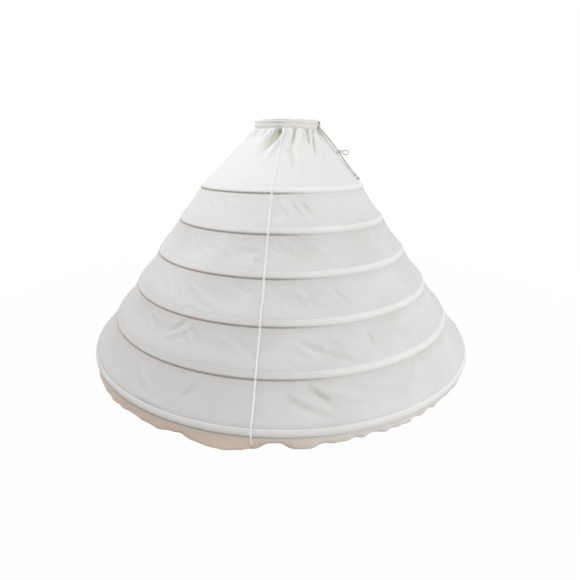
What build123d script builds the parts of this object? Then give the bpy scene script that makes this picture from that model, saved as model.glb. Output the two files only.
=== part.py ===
from build123d import *
import os
from math import asin, cos, degrees, hypot, radians, sin, sqrt, tan

# A six-hoop crinoline underskirt, standing on its hem.
#
# Four full-length gores, gathered into a drawstring waistband, are sewn together along four seams that
# are covered with tape. Six flat spring hoops run round the skirt in channels: the gore bulges over
# each hoop, and a casing sewn inside closes the channel. Below the bottom hoop the cloth hangs as a
# fluted frill.
#
# Frame: millimetres, +Z up, Z is the hoops' common axis, and the hem rests on Z = 0. The front, with
# one seam a little to its left, faces -Y. Angles are in degrees, counted about Z from +X towards +Y.

# Hoops and heights
HOOP_COUNT = 6
TOP_HOOP_RADIUS = 250.0
BOTTOM_HOOP_RADIUS = 600.0
HOOP_SPACING = 95.0
YOKE_DROP = 166.0
FRILL_DROP = 46.0
HEM_RADIUS = 592.0

# Cloth
CLOTH = 1.0
TAPE = 0.8
LAYER_GAP = 0.3
TIER_SAG = 3.0
GORE_COUNT = 4
FRONT_SEAM_ANGLE = -96.0
SEAM_GAP_ANGLE = 0.04
SEAM_TAPE_WIDTH = 8.0

# Hoop channels
CHANNEL_WIDTH = 17.0
CHANNEL_BULGE = 4.2
CASING_MARGIN = 4.0
CASING_FLAT = 1.0
HOOP_WIDTH = 7.0
HOOP_THICKNESS = 1.6
HOOP_END_GAP = 3.0
JOINER_LENGTH = 32.0
JOINER_WALL = 0.5
JOINER_FIT = 0.1
JOINER_ANGLE = 96.0
JOINER_ANGLE_STEP = 9.0

# Waistband, in two channels: the drawstring runs in the upper one and the elastic in the lower one
WAIST_RADIUS = 95.0
WAIST_OFFSET = 17.0
BAND_HEIGHT = 26.0
BAND_BULGE = 3.4
BAND_SEAM = 4.0
BAND_SPLIT_ANGLE = -22.0
BAND_SPLIT = 21.0
ELASTIC_WIDTH = 7.0
ELASTIC_THICKNESS = 1.2
ELASTIC_FREE_ANGLE = 110.0

# Gathers under the waistband and flutes of the frill: each wave is its count round the skirt, its
# share of the depth and its phase in degrees
GATHER_DEPTH = 6.5
GATHER_RISE = 14.0
GATHER_FADE = 106.0
GATHER_WAVES = ((19, 0.45, 20.0), (26, 0.35, 140.0), (11, 0.20, 75.0))
FLUTE_DEPTH = 10.0
FLUTE_WAVES = ((17, 0.5, 10.0), (11, 0.3, 200.0), (29, 0.2, 90.0))
SEAM_FLAT_ANGLE = 3.0
SEAM_RAMP_ANGLE = 7.0

# Heights below the waistband at which the gathers' sections are drawn, and points along a section
YOKE_STATIONS = (7.0, 16.0, 31.0, 52.0, 76.0, 100.0, 124.0)
FRILL_STATION = 0.5
POINTS_PER_GORE = 56

# Drawstring
CORD_DIAMETER = 4.0
CORD_SPREAD = 2.9
CORD_ARC_SHARE = 0.45
KNOT_DIAMETER = 9.5
WRAP_WALL = 2.0
WRAP_LENGTH = 7.0
LOOP_CORD = 3.0
LOOP_REACH = 27.0
LOOP_SPAN = 11.0
LOOP_RISE_ANGLE = 14.0


def place(radius, angle, height, aside=0.0):
    """The point at a radius and height on the ray at an angle, moved aside square to that ray."""
    a = radians(angle)
    return Vector(radius * cos(a) - aside * sin(a), radius * sin(a) + aside * cos(a), height)


def smooth_step(value):
    """0 below 0, 1 above 1, and an even rise between them."""
    v = min(max(value, 0.0), 1.0)
    return v * v * (3 - 2 * v)


def between(low, high, share):
    """The value a share of the way from low to high."""
    return low + (high - low) * share


def unit(start, end):
    """The direction from one point of the half plane to another."""
    length = hypot(end[0] - start[0], end[1] - start[1])
    return ((end[0] - start[0]) / length, (end[1] - start[1]) / length)


# Heights and radii that follow from the sizes above
WAIST_Z = FRILL_DROP + (HOOP_COUNT - 1) * HOOP_SPACING + YOKE_DROP
BAND_TOP_Z = WAIST_Z + BAND_HEIGHT
BAND_INNER_FACE = WAIST_RADIUS + CLOTH
YOKE_TOP_RADIUS = BAND_INNER_FACE + LAYER_GAP + CLOTH
BAND_OUTER_RADIUS = YOKE_TOP_RADIUS + LAYER_GAP + CLOTH
HOOP_STEP = (BOTTOM_HOOP_RADIUS - TOP_HOOP_RADIUS) / (HOOP_COUNT - 1)
HOOP_POINTS = [
    (TOP_HOOP_RADIUS + i * HOOP_STEP, FRILL_DROP + (HOOP_COUNT - 1 - i) * HOOP_SPACING)
    for i in range(HOOP_COUNT)
]
GORE_ANGLE = 360.0 / GORE_COUNT

# The channel's bulge is an arc; the casing under it lies flat to a little beyond its own edge
BULGE_RADIUS = (CHANNEL_WIDTH**2 / 4 + CHANNEL_BULGE**2) / (2 * CHANNEL_BULGE)
BULGE_CENTRE = CHANNEL_BULGE - BULGE_RADIUS
CASING_HALF = CHANNEL_WIDTH / 2 + CASING_MARGIN
FLAT_HALF = CASING_HALF + CASING_FLAT


class HoopSeat:
    """Where a hoop sits: its centre on the cloth's outer line, the way down the cloth and the way out."""

    def __init__(self, index):
        points = [(YOKE_TOP_RADIUS, WAIST_Z)] + HOOP_POINTS + [(HEM_RADIUS, 0.0)]
        self.centre = points[index + 1]
        up = unit(self.centre, points[index])
        down = unit(self.centre, points[index + 2])
        self.along = unit(up, down)
        self.out = (-self.along[1], self.along[0])

    def at(self, along, out):
        """The point so far down the cloth from the hoop's centre, and so far out of it."""
        return (
            self.centre[0] + along * self.along[0] + out * self.out[0],
            self.centre[1] + along * self.along[1] + out * self.out[1],
        )

    def level(self, height, out):
        """The point at a height on the line that lies so far out of the cloth."""
        along = (height - self.centre[1] - out * self.out[1]) / self.along[1]
        return self.at(along, out)

    def strip(self, half_width, out_low, out_high):
        """The section of a flat strip centred on the seat, as a face of the half plane."""
        corners = [
            self.at(-half_width, out_low),
            self.at(half_width, out_low),
            self.at(half_width, out_high),
            self.at(-half_width, out_high),
        ]
        return half_plane_face(Polyline(*corners, close=True))


def half_plane_face(*edges):
    """A face from edges drawn as (radius, height), stood up in the XZ plane."""
    return Plane.XZ * make_face(Curve() + list(edges))


def spin(face, start_angle, sweep):
    """Turns a face of the half plane about Z, from one angle through a sweep."""
    return revolve(Rot(0, 0, start_angle) * face, Axis.Z, sweep)


SEATS = [HoopSeat(i) for i in range(HOOP_COUNT)]
YOKE_END_Z = SEATS[0].at(-FLAT_HALF, 0.0)[1]
FRILL_TOP_Z = SEATS[-1].at(FLAT_HALF, 0.0)[1]


def yoke_radius(height, gap):
    """The radius of the straight yoke line that lies a gap out of the cloth."""
    share = min(max((WAIST_Z - height) / (WAIST_Z - YOKE_END_Z), 0.0), 1.0)
    return between(YOKE_TOP_RADIUS + gap, SEATS[0].level(YOKE_END_Z, gap)[0], share)


def frill_radius(height, gap):
    """The radius of the straight frill line that lies a gap out of the cloth."""
    return between(HEM_RADIUS + gap, SEATS[-1].level(FRILL_TOP_Z, gap)[0], height / FRILL_TOP_Z)


def lean(height):
    """How far the cloth has moved towards +X: the waistband hangs beside the hoops' axis."""
    share = min(max((height - YOKE_END_Z) / (WAIST_Z - YOKE_END_Z), 0.0), 1.0)
    return Vector(WAIST_OFFSET * share, 0, 0)


def tier_line(gap):
    """Edges of the line that lies a gap out of the cloth, from the top hoop to the bottom one."""
    half = sqrt((BULGE_RADIUS + gap) ** 2 - (gap - BULGE_CENTRE) ** 2)
    top = SEATS[0].level(YOKE_END_Z, gap)
    end = SEATS[-1].level(FRILL_TOP_Z, gap)
    edges = []
    for index, seat in enumerate(SEATS):
        first = top if index == 0 else seat.at(-FLAT_HALF, gap)
        last = end if index == HOOP_COUNT - 1 else seat.at(FLAT_HALF, gap)
        upper = seat.at(-half, gap)
        lower = seat.at(half, gap)
        edges.append(Line(first, upper))
        edges.append(ThreePointArc(upper, seat.at(0, CHANNEL_BULGE + gap), lower))
        edges.append(Line(lower, last))
        if index < HOOP_COUNT - 1:
            below = SEATS[index + 1].at(-FLAT_HALF, gap)
            run = unit(last, below)
            sag = (
                (last[0] + below[0]) / 2 + TIER_SAG * run[1],
                (last[1] + below[1]) / 2 - TIER_SAG * run[0],
            )
            edges.append(ThreePointArc(last, sag, below))
    return edges


def tier_face(gap_low, gap_high):
    """The section of cloth between two gaps, from the yoke's end to the frill's top."""
    inner = tier_line(gap_low)
    outer = tier_line(gap_high)
    caps = [
        Line(SEATS[0].level(YOKE_END_Z, gap_low), SEATS[0].level(YOKE_END_Z, gap_high)),
        Line(SEATS[-1].level(FRILL_TOP_Z, gap_low), SEATS[-1].level(FRILL_TOP_Z, gap_high)),
    ]
    return half_plane_face(*inner, *outer, *caps)


def seam_share(angle):
    """0 along each seam, where the cloth lies flat under its tape, and 1 away from the seams."""
    from_seam = (angle - FRONT_SEAM_ANGLE) % GORE_ANGLE
    nearest = min(from_seam, GORE_ANGLE - from_seam)
    return smooth_step((nearest - SEAM_FLAT_ANGLE) / SEAM_RAMP_ANGLE)


def waves(angle, terms):
    """An irregular row of folds round the skirt, between about -1 and 1, flat at the seams."""
    total = sum(share * cos(radians(count * angle + phase)) for count, share, phase in terms)
    return total * seam_share(angle)


def gather_depth(height):
    """How deep the gathers are at a height: none in the waistband, soon full, then fading."""
    drop = WAIST_Z - height
    risen = smooth_step(drop / GATHER_RISE)
    faded = smooth_step((drop - GATHER_RISE) / GATHER_FADE)
    return GATHER_DEPTH * risen * (1 - faded)


def section_edge(start, sweep, height, radius, depth, terms):
    """One side of a gore's level section: an arc where the cloth is flat, else a wavy spline."""
    if depth == 0:
        angles = [start, start + sweep / 2, start + sweep]
        return ThreePointArc(*[place(radius, a, height) + lean(height) for a in angles])
    angles = [start + sweep * i / POINTS_PER_GORE for i in range(POINTS_PER_GORE + 1)]
    return Spline(*[place(radius + depth * waves(a, terms), a, height) + lean(height) for a in angles])


def gore_section(start, sweep, height, radius_at, depth, terms):
    """A gore's level section, as a closed wire."""
    outside = section_edge(start, sweep, height, radius_at(height, 0), depth, terms)
    inside = section_edge(start, sweep, height, radius_at(height, -CLOTH), depth, terms)
    edges = [outside, Line(outside @ 1, inside @ 1), inside, Line(inside @ 0, outside @ 0)]
    return Wire(list(e.edge() for e in edges))


def make_gore(index):
    """One gore, from its edge inside the waistband down to the hem."""
    start = FRONT_SEAM_ANGLE + index * GORE_ANGLE + SEAM_GAP_ANGLE / 2
    sweep = GORE_ANGLE - SEAM_GAP_ANGLE
    yoke = []
    for drop in (-BAND_SEAM, 0.0) + YOKE_STATIONS + (WAIST_Z - YOKE_END_Z,):
        height = WAIST_Z - drop
        yoke.append(gore_section(start, sweep, height, yoke_radius, gather_depth(height), GATHER_WAVES))
    frill = []
    for share in (0.0, FRILL_STATION, 1.0):
        height = FRILL_TOP_Z * (1 - share)
        depth = FLUTE_DEPTH * smooth_step(share)
        frill.append(gore_section(start, sweep, height, frill_radius, depth, FLUTE_WAVES))
    tiers = spin(tier_face(-CLOTH, 0.0), start, sweep)
    return tiers + Solid.make_loft(yoke, ruled=True) + Solid.make_loft(frill, ruled=True)


def tape_section(angle, height, radius_at):
    """A seam tape's level section: a rectangle across the seam."""
    half = SEAM_TAPE_WIDTH / 2
    inner = radius_at(height, LAYER_GAP)
    outer = radius_at(height, LAYER_GAP + TAPE)
    corners = [(inner, -half), (outer, -half), (outer, half), (inner, half)]
    return Wire.make_polygon([place(r, angle, height, aside) + lean(height) for r, aside in corners])


def make_seam_tape(index):
    """The tape over one seam, from just under the waistband to just above the hem."""
    angle = FRONT_SEAM_ANGLE + index * GORE_ANGLE
    yoke = [tape_section(angle, z, yoke_radius) for z in (WAIST_Z - LAYER_GAP, YOKE_END_Z)]
    frill = [tape_section(angle, z, frill_radius) for z in (FRILL_TOP_Z, LAYER_GAP)]
    tiers = extrude(tier_face(LAYER_GAP, LAYER_GAP + TAPE), SEAM_TAPE_WIDTH / 2, both=True)
    return Rot(0, 0, angle) * tiers + Solid.make_loft(yoke, ruled=True) + Solid.make_loft(frill, ruled=True)


# Across a channel, from the inside out: the casing, the joiner with the hoop in it, and the bulge
CASING_OUTER = -CLOTH - LAYER_GAP
CASING_INNER = CASING_OUTER - TAPE
JOINER_HALF = HOOP_THICKNESS / 2 + JOINER_FIT + JOINER_WALL
HOOP_OUT = CASING_OUTER + LAYER_GAP + JOINER_HALF


def make_casing(index):
    """The strip sewn inside the cloth that closes a channel, all the way round."""
    return spin(SEATS[index].strip(CASING_HALF, CASING_INNER, CASING_OUTER), 0, 360)


def joiner_angle(index):
    """The middle of a hoop's join, at the back and stepped from hoop to hoop so that none stack up."""
    return JOINER_ANGLE + JOINER_ANGLE_STEP * (index % 3 - 1)


def make_hoop(index):
    """A flat spring hoop, open at its join."""
    seat = SEATS[index]
    gap = degrees(HOOP_END_GAP / seat.centre[0])
    section = seat.strip(HOOP_WIDTH / 2, HOOP_OUT - HOOP_THICKNESS / 2, HOOP_OUT + HOOP_THICKNESS / 2)
    return spin(section, joiner_angle(index) + gap / 2, 360 - gap)


def make_joiner(index):
    """The flat sleeve that the two ends of a hoop are pushed into."""
    seat = SEATS[index]
    sweep = degrees(JOINER_LENGTH / seat.centre[0])
    bore_width = HOOP_WIDTH / 2 + JOINER_FIT
    bore_half = HOOP_THICKNESS / 2 + JOINER_FIT
    outside = seat.strip(bore_width + JOINER_WALL, HOOP_OUT - JOINER_HALF, HOOP_OUT + JOINER_HALF)
    bore = seat.strip(bore_width, HOOP_OUT - bore_half, HOOP_OUT + bore_half)
    return spin(outside - bore, joiner_angle(index) - sweep / 2, sweep)


# The waistband's two channels stack above the slot that holds the gathered edge
BAND_SLOT_TOP = WAIST_Z + BAND_SEAM + LAYER_GAP
BAND_CHANNEL_LOW = BAND_SLOT_TOP + CLOTH
BAND_CHANNEL_PITCH = (BAND_TOP_Z - BAND_CHANNEL_LOW) / 2
ELASTIC_Z = BAND_CHANNEL_LOW + BAND_CHANNEL_PITCH / 2
CORD_Z = ELASTIC_Z + BAND_CHANNEL_PITCH
BAND_ARC_RADIUS = ((BAND_CHANNEL_PITCH / 2) ** 2 + BAND_BULGE**2) / (2 * BAND_BULGE)
BAND_ARC_CENTRE = BAND_OUTER_RADIUS + BAND_BULGE - BAND_ARC_RADIUS
CORD_RING_RADIUS = BAND_INNER_FACE + LAYER_GAP + CORD_DIAMETER / 2
SPLIT_HALF_ANGLE = degrees(asin(BAND_SPLIT / 2 / CORD_RING_RADIUS))
BAND_START = BAND_SPLIT_ANGLE + SPLIT_HALF_ANGLE
BAND_SWEEP = 360 - 2 * SPLIT_HALF_ANGLE


def around_waist(face, start, sweep):
    """Turns a face of the half plane about the waist's own axis."""
    return Pos(WAIST_OFFSET, 0, 0) * spin(face, start, sweep)


def band_channel(height):
    """The hollow of one channel, round towards the outside and flat against the inner layer."""
    hollow = Pos(BAND_ARC_CENTRE, height) * Circle(BAND_ARC_RADIUS - CLOTH)
    reach = 2 * BAND_ARC_RADIUS
    return hollow - Pos(BAND_INNER_FACE, height) * Rectangle(reach, reach, align=(Align.MAX, Align.CENTER))


def make_waistband():
    """The folded waistband, with its two channels and the slot for the gathered edge."""
    crown = BAND_OUTER_RADIUS + BAND_BULGE
    top = (BAND_OUTER_RADIUS, BAND_TOP_Z)
    stitched = (BAND_OUTER_RADIUS, ELASTIC_Z + BAND_CHANNEL_PITCH / 2)
    low = (BAND_OUTER_RADIUS, BAND_CHANNEL_LOW)
    inside = [(WAIST_RADIUS, BAND_TOP_Z), (WAIST_RADIUS, WAIST_Z), (BAND_OUTER_RADIUS, WAIST_Z)]
    edges = [
        Polyline(top, *inside, low),
        ThreePointArc(low, (crown, ELASTIC_Z), stitched),
        ThreePointArc(stitched, (crown, CORD_Z), top),
    ]
    slot_size = (YOKE_TOP_RADIUS + LAYER_GAP - BAND_INNER_FACE, BAND_SLOT_TOP - WAIST_Z)
    slot = Pos(BAND_INNER_FACE, WAIST_Z) * Rectangle(*slot_size, align=(Align.MIN, Align.MIN))
    section = make_face(Curve() + edges) - band_channel(ELASTIC_Z) - band_channel(CORD_Z) - slot
    return around_waist(Plane.XZ * section, BAND_START, BAND_SWEEP)


def make_elastic():
    """The flat elastic in the lower channel, all round except beside the split."""
    strip = Pos(BAND_INNER_FACE + LAYER_GAP, ELASTIC_Z) * Rectangle(
        ELASTIC_THICKNESS, ELASTIC_WIDTH, align=(Align.MIN, Align.CENTER)
    )
    start = BAND_SPLIT_ANGLE + ELASTIC_FREE_ANGLE / 2
    return around_waist(Plane.XZ * strip, start, 360 - ELASTIC_FREE_ANGLE)


def make_drawstring():
    """The drawstring inside the upper channel, up to the band's two ends."""
    section = Pos(CORD_RING_RADIUS, CORD_Z) * Circle(CORD_DIAMETER / 2)
    return around_waist(Plane.XZ * section, BAND_START, BAND_SWEEP)


def at_waist(radius, angle, height, aside=0.0):
    """A point about the waist's own axis."""
    return place(radius, angle, height, aside) + Vector(WAIST_OFFSET, 0, 0)


# The tails' common middle line below the split: drop below the waistband, distance out of the yoke's
# line, and angle. The front tail lies to one side of it and the back tail to the other.
TAIL_LINE = [
    (-8.6, 2.6, -22.0),
    (3.0, 9.4, -22.2),
    (18.0, 12.4, -22.4),
    (36.0, 12.8, -21.6),
    (56.0, 12.0, -19.4),
    (76.0, 10.6, -17.0),
    (93.0, 9.0, -15.2),
]
FRONT_TAIL_END = [
    (111.0, 7.8, -14.8),
    (131.0, 8.8, -12.8),
]
BACK_TAIL_END = [
    (109.0, 7.8, -13.4),
    (126.0, 7.8, -13.0),
    (142.0, 8.8, -11.6),
]
EXIT_RUN = 4.5
BOW_AFTER = 4


def tail_point(drop, out, angle, aside):
    """A point of a tail, given from the waistband's lower edge and the yoke's line."""
    height = WAIST_Z - drop
    return place(yoke_radius(height, 0) + out, angle, height, aside) + lean(height)


def tail_route(side, end):
    """A tail's points: out of the band's end, down through the split and along the yoke."""
    exit_angle = BAND_SPLIT_ANGLE + side * SPLIT_HALF_ANGLE
    start = at_waist(CORD_RING_RADIUS, exit_angle, CORD_Z)
    level = at_waist(CORD_RING_RADIUS, exit_angle, CORD_Z, -side * EXIT_RUN)
    turned_z = CORD_Z - EXIT_RUN * sin(radians(45))
    turned = at_waist(CORD_RING_RADIUS, BAND_SPLIT_ANGLE, turned_z, side * CORD_SPREAD)
    along = [tail_point(*spot, side * CORD_SPREAD) for spot in TAIL_LINE + end]
    return [start, level, turned] + along


def cord_radii(points):
    """Corner radii of a cord's route, each as large as its two runs allow."""
    radii = []
    for before, corner, after in zip(points, points[1:], points[2:]):
        arriving = corner - before
        leaving = after - corner
        shorter = min(arriving.length, leaving.length)
        radii.append(CORD_ARC_SHARE * shorter / tan(radians(arriving.get_angle(leaving)) / 2))
    return radii


def make_tail(name, points):
    """A free end of the drawstring, as a round tube along its route."""
    radii = cord_radii(points)
    print(name, "corner radii", [round(r, 1) for r in radii])
    path = FilletPolyline(*points, radius=radii)
    section = Plane(path @ 0, z_dir=path % 0) * Circle(CORD_DIAMETER / 2)
    tube = sweep(section, path)
    print(name, "length", round(path.length, 1), "volume", round(tube.volume / path.length, 3), "per mm")
    return tube


def make_knot(points):
    """The overhand knot at a tail's end: a ball that starts where it is as wide as the cord."""
    sunk = sqrt(KNOT_DIAMETER**2 - CORD_DIAMETER**2) / 2
    ball = Pos(0, 0, sunk) * Sphere(KNOT_DIAMETER / 2)
    return Plane(points[-1], z_dir=points[-1] - points[-2]) * split(ball, Plane.XY)


def make_bow():
    """The tie round both tails, with its one small loop standing out."""
    first, second = [tail_point(*spot, 0.0) for spot in TAIL_LINE[BOW_AFTER : BOW_AFTER + 2]]
    middle = (first + second) / 2
    ray = radians((TAIL_LINE[BOW_AFTER][2] + TAIL_LINE[BOW_AFTER + 1][2]) / 2)
    across = Vector(-sin(ray), cos(ray), 0)
    wrap_plane = Plane(middle, x_dir=across, z_dir=second - first)
    bore_height = CORD_DIAMETER + 2 * LAYER_GAP
    bore_width = bore_height + 2 * CORD_SPREAD
    ring = SlotOverall(bore_width + 2 * WRAP_WALL, bore_height + 2 * WRAP_WALL)
    ring -= SlotOverall(bore_width, bore_height)
    wrap = extrude(wrap_plane * ring, WRAP_LENGTH / 2, both=True)

    rise = radians(LOOP_RISE_ANGLE)
    outward = Vector(cos(ray) * cos(rise), sin(ray) * cos(rise), sin(rise))
    normal = across.cross(second - first).normalized()
    if normal.dot(outward) < 0:
        normal = -normal
    root = middle + normal * ((bore_height + WRAP_WALL) / 2)
    loop_plane = Plane(root, x_dir=outward, z_dir=across)
    leg = LOOP_CORD / 2 + LAYER_GAP / 2
    corners = [
        (0, leg),
        (LOOP_REACH * 0.25, leg),
        (LOOP_REACH * 0.55, LOOP_SPAN / 2),
        (LOOP_REACH, LOOP_SPAN / 2),
        (LOOP_REACH, -LOOP_SPAN / 2),
        (LOOP_REACH * 0.55, -LOOP_SPAN / 2),
        (LOOP_REACH * 0.25, -leg),
        (0, -leg),
    ]
    points = [loop_plane.from_local_coords(Vector(x, y, 0)) for x, y in corners]
    path = FilletPolyline(*points, radius=cord_radii(points))
    loop = sweep(Plane(path @ 0, z_dir=path % 0) * Circle(LOOP_CORD / 2), path)
    return wrap + loop


def write(name, shape):
    """Writes one piece as parts/NAME.step."""
    solids = shape.solids()
    piece = solids[0] if len(solids) == 1 else Compound(solids)
    piece.label = name
    export_step(piece, f"parts/{name}.step")
    print(name, len(solids), "solid", "valid" if piece.is_valid else "NOT VALID", round(piece.volume, 1))


def main():
    os.makedirs("parts", exist_ok=True)
    gore_names = ("front_right", "back_right", "back_left", "front_left")
    seam_names = ("front", "right", "back", "left")
    for index in range(GORE_COUNT):
        write(f"gore_{gore_names[index]}", make_gore(index))
        write(f"seam_tape_{seam_names[index]}", make_seam_tape(index))
    for index in range(HOOP_COUNT):
        write(f"hoop_{index + 1}", make_hoop(index))
        write(f"hoop_joiner_{index + 1}", make_joiner(index))
        write(f"hoop_casing_{index + 1}", make_casing(index))
    write("waistband", make_waistband())
    write("waist_elastic", make_elastic())
    write("drawstring", make_drawstring())
    front = tail_route(-1, FRONT_TAIL_END)
    back = tail_route(1, BACK_TAIL_END)
    write("drawstring_tail_front", make_tail("front tail", front))
    write("drawstring_tail_back", make_tail("back tail", back))
    write("drawstring_knot_front", make_knot(front))
    write("drawstring_knot_back", make_knot(back))
    write("drawstring_bow", make_bow())


main()
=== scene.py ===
import math

import bmesh
import bpy
import numpy as np
from mathutils import Matrix, Vector


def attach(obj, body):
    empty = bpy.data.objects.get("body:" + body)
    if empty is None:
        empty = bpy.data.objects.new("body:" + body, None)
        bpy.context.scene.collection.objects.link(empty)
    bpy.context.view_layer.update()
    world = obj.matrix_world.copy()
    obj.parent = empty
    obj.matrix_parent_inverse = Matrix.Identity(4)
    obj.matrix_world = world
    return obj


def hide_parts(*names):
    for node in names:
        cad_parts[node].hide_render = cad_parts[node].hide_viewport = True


# A white six-hoop crinoline underskirt on a plain pale floor.
#
# Lengths are in metres unless a name ends in _MM, and angles in degrees. An azimuth is counted from the
# front, -Y, towards +X. A piece of cloth is built as a grid: rows run down the skirt's profile and
# columns run round it. Folds are then moved out of the cloth along its normal.

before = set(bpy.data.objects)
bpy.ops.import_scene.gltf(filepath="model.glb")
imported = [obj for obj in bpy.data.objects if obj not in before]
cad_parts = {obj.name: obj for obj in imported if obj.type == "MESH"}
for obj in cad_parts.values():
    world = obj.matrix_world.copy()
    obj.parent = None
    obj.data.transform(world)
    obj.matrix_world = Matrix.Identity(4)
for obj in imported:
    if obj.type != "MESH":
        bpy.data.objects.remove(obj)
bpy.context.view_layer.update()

MM = 0.001
SEED = 7

# The skirt's driving sizes, as the solids have them
HOOP_COUNT = 6
TOP_HOOP_RADIUS = 0.250
BOTTOM_HOOP_RADIUS = 0.600
HOOP_SPACING = 0.095
YOKE_DROP = 0.166
FRILL_DROP = 0.046
HEM_RADIUS = 0.592
WAIST_RADIUS = 0.095
WAIST_OFFSET = 0.017
BAND_HEIGHT = 0.026
BAND_SEAM = 0.004
BAND_SPLIT = 0.021
BAND_SPLIT_AZIMUTH = 68.0
ELASTIC_FREE_ANGLE = 110.0
CLOTH = 0.001
LAYER_GAP = 0.0003
TAPE = 0.0008
CORD_DIAMETER = 0.004
CORD_SPREAD = 0.0029
GORE_COUNT = 4
FRONT_SEAM_AZIMUTH = -6.0
SEAM_GAP = 0.0004
SEAM_FLAT_ANGLE = 3.0
SEAM_RAMP_ANGLE = 7.0
SEAM_TAPE_WIDTH = 0.008

WAIST_Z = FRILL_DROP + (HOOP_COUNT - 1) * HOOP_SPACING + YOKE_DROP
BAND_TOP_Z = WAIST_Z + BAND_HEIGHT
BAND_INNER_FACE = WAIST_RADIUS + CLOTH
YOKE_TOP_RADIUS = BAND_INNER_FACE + LAYER_GAP + CLOTH
BAND_OUTER_RADIUS = YOKE_TOP_RADIUS + LAYER_GAP + CLOTH
CORD_RING_RADIUS = BAND_INNER_FACE + LAYER_GAP + CORD_DIAMETER / 2
GORE_ANGLE = 360.0 / GORE_COUNT

# Where the dressed cloth departs from the solids: the tiers sag less, and the tape's edges roll in
TIER_SAG = 0.002
TAPE_ROLL = 0.0011
TAPE_PUFF = 0.0012

# Grid of a gore. The yoke's rows lie closer at its top, by this power of their share.
GORE_COLUMNS = 150
YOKE_ROWS = 46
TIER_ROWS = 12
FRILL_ROWS = 10
YOKE_ROW_POWER = 1.25

# Cross-section of a hoop's channel, from above it to below it: (down the cloth, out of it), in mm. The
# cloth rises slowly over the hoop and drops back steeply to the stitching below it.
CHANNEL_MM = [
    (-13.5, 0.0), (-11.5, 0.3), (-9.8, 0.9), (-8.8, 0.9), (-7.8, 1.5), (-6.2, 2.3), (-4.4, 3.0),
    (-2.4, 3.4), (0.0, 3.6), (2.4, 3.65), (4.4, 3.5), (6.2, 3.0), (7.4, 2.3), (8.2, 1.3),
    (8.7, 0.4), (9.0, 0.0), (9.8, 0.0), (11.0, 0.1), (12.2, 0.05), (13.5, 0.0),
]
# The cloth droops over each hoop from above: how far it stands out there, in mm, and where that starts
# in the tier. The droop is gone at the hoop's middle.
DROOP_MM = (1.4, 2.0, 3.0, 4.0, 4.4, 0.8)
DROOP_START = 0.42
# On the skirt's right the steep drop is eased: (down the cloth, moved out of it), in mm
EASE_MM = [(4.4, 0.0), (6.4, -0.5), (8.7, 0.6), (11.0, 0.4), (13.5, 0.0)]
STITCH_ABOVE_MM = -8.8
STITCH_BELOW_MM = 9.0
FLAT_HALF_MM = 13.5

# The whiter channel, partly the casing's own white and partly painted light: its half width and how softly
# it ends, how much whiter it is over all, and its painted highlight lines as (down the cloth in mm, how
# much whiter). It fades on the left, where it is white at the bottom hoop only.
EDGE_MM = 8.8
BAND_SOFT_MM = 0.8
BAND_BODY = 0.42
BAND_HIGHLIGHT_LINES = ((-8.2, 0.62), (-2.5, 0.30), (8.2, 0.20))
BAND_LINE_HALF_MM = 1.3
BAND_LEFT_SHARE = 0.2
BAND_LEFT_SHARE_AT_BOTTOM = 0.85

# Painted shade: the dark groove under a channel, which fades towards the right, and the fainter painted
# shadow below it
GROOVE_HALF_MM = 2.5
GROOVE_FADE = 0.85
PAINTED_SHADOW_HALF_MM = 9.0
PAINTED_SHADOW_TIER_SHARE = 0.12
PAINTED_SHADOW_SHARE = 0.10

# Painted shade on the yoke beside the split: the azimuths it lies between, its lower edge, and how strong
# it is
SPLIT_SHADE_AZIMUTHS = (47.0, 84.0)
SPLIT_SHADE_FADE = 6.0
SPLIT_SHADE_LOW = 0.640
SPLIT_SHADE_SOFT = 0.014
SPLIT_SHADE_SHARE = 0.42

# How deep the cloth has to be for the full painted shade of a valley
FULL_VALLEY = 0.006


def smooth_step(value):
    """0 below 0, 1 above 1, and an even rise between them."""
    v = np.clip(value, 0.0, 1.0)
    return v * v * (3 - 2 * v)


def bell(value):
    """1 at 0, fading evenly to both sides."""
    return np.exp(-(value**2))


def ray(azimuth):
    """Unit directions in the floor plane for an azimuth: (outward x, outward y)."""
    a = np.radians(azimuth)
    return np.sin(a), -np.cos(a)


# The skirt's profile

def unit(start, end):
    way = np.subtract(end, start)
    return way / np.hypot(*way)


HOOP_POINTS = [
    (
        TOP_HOOP_RADIUS + i * (BOTTOM_HOOP_RADIUS - TOP_HOOP_RADIUS) / (HOOP_COUNT - 1),
        FRILL_DROP + (HOOP_COUNT - 1 - i) * HOOP_SPACING,
    )
    for i in range(HOOP_COUNT)
]
CORNERS = [(YOKE_TOP_RADIUS, WAIST_Z)] + HOOP_POINTS + [(HEM_RADIUS, 0.0)]


class Seat:
    """Where a hoop sits in the profile: its centre, the way down the cloth and the way out of it."""

    def __init__(self, index):
        self.centre = np.array(CORNERS[index + 1])
        up = unit(self.centre, CORNERS[index])
        down = unit(self.centre, CORNERS[index + 2])
        self.along = unit(up, down)
        self.out = np.array((-self.along[1], self.along[0]))

    def at(self, along_mm, out_mm):
        return self.centre + (along_mm * self.along + out_mm * self.out) * MM


SEATS = [Seat(i) for i in range(HOOP_COUNT)]
YOKE_END = SEATS[0].at(-FLAT_HALF_MM, 0.0)
FRILL_TOP = SEATS[-1].at(FLAT_HALF_MM, 0.0)
ZONE_YOKE, ZONE_CHANNEL, ZONE_TIER, ZONE_FRILL = range(4)


def droop(index, share):
    """How far the cloth stands out above a hoop, at a share of the way down to its channel."""
    return DROOP_MM[index] * MM * smooth_step((share - DROOP_START) / (1 - DROOP_START))


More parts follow.
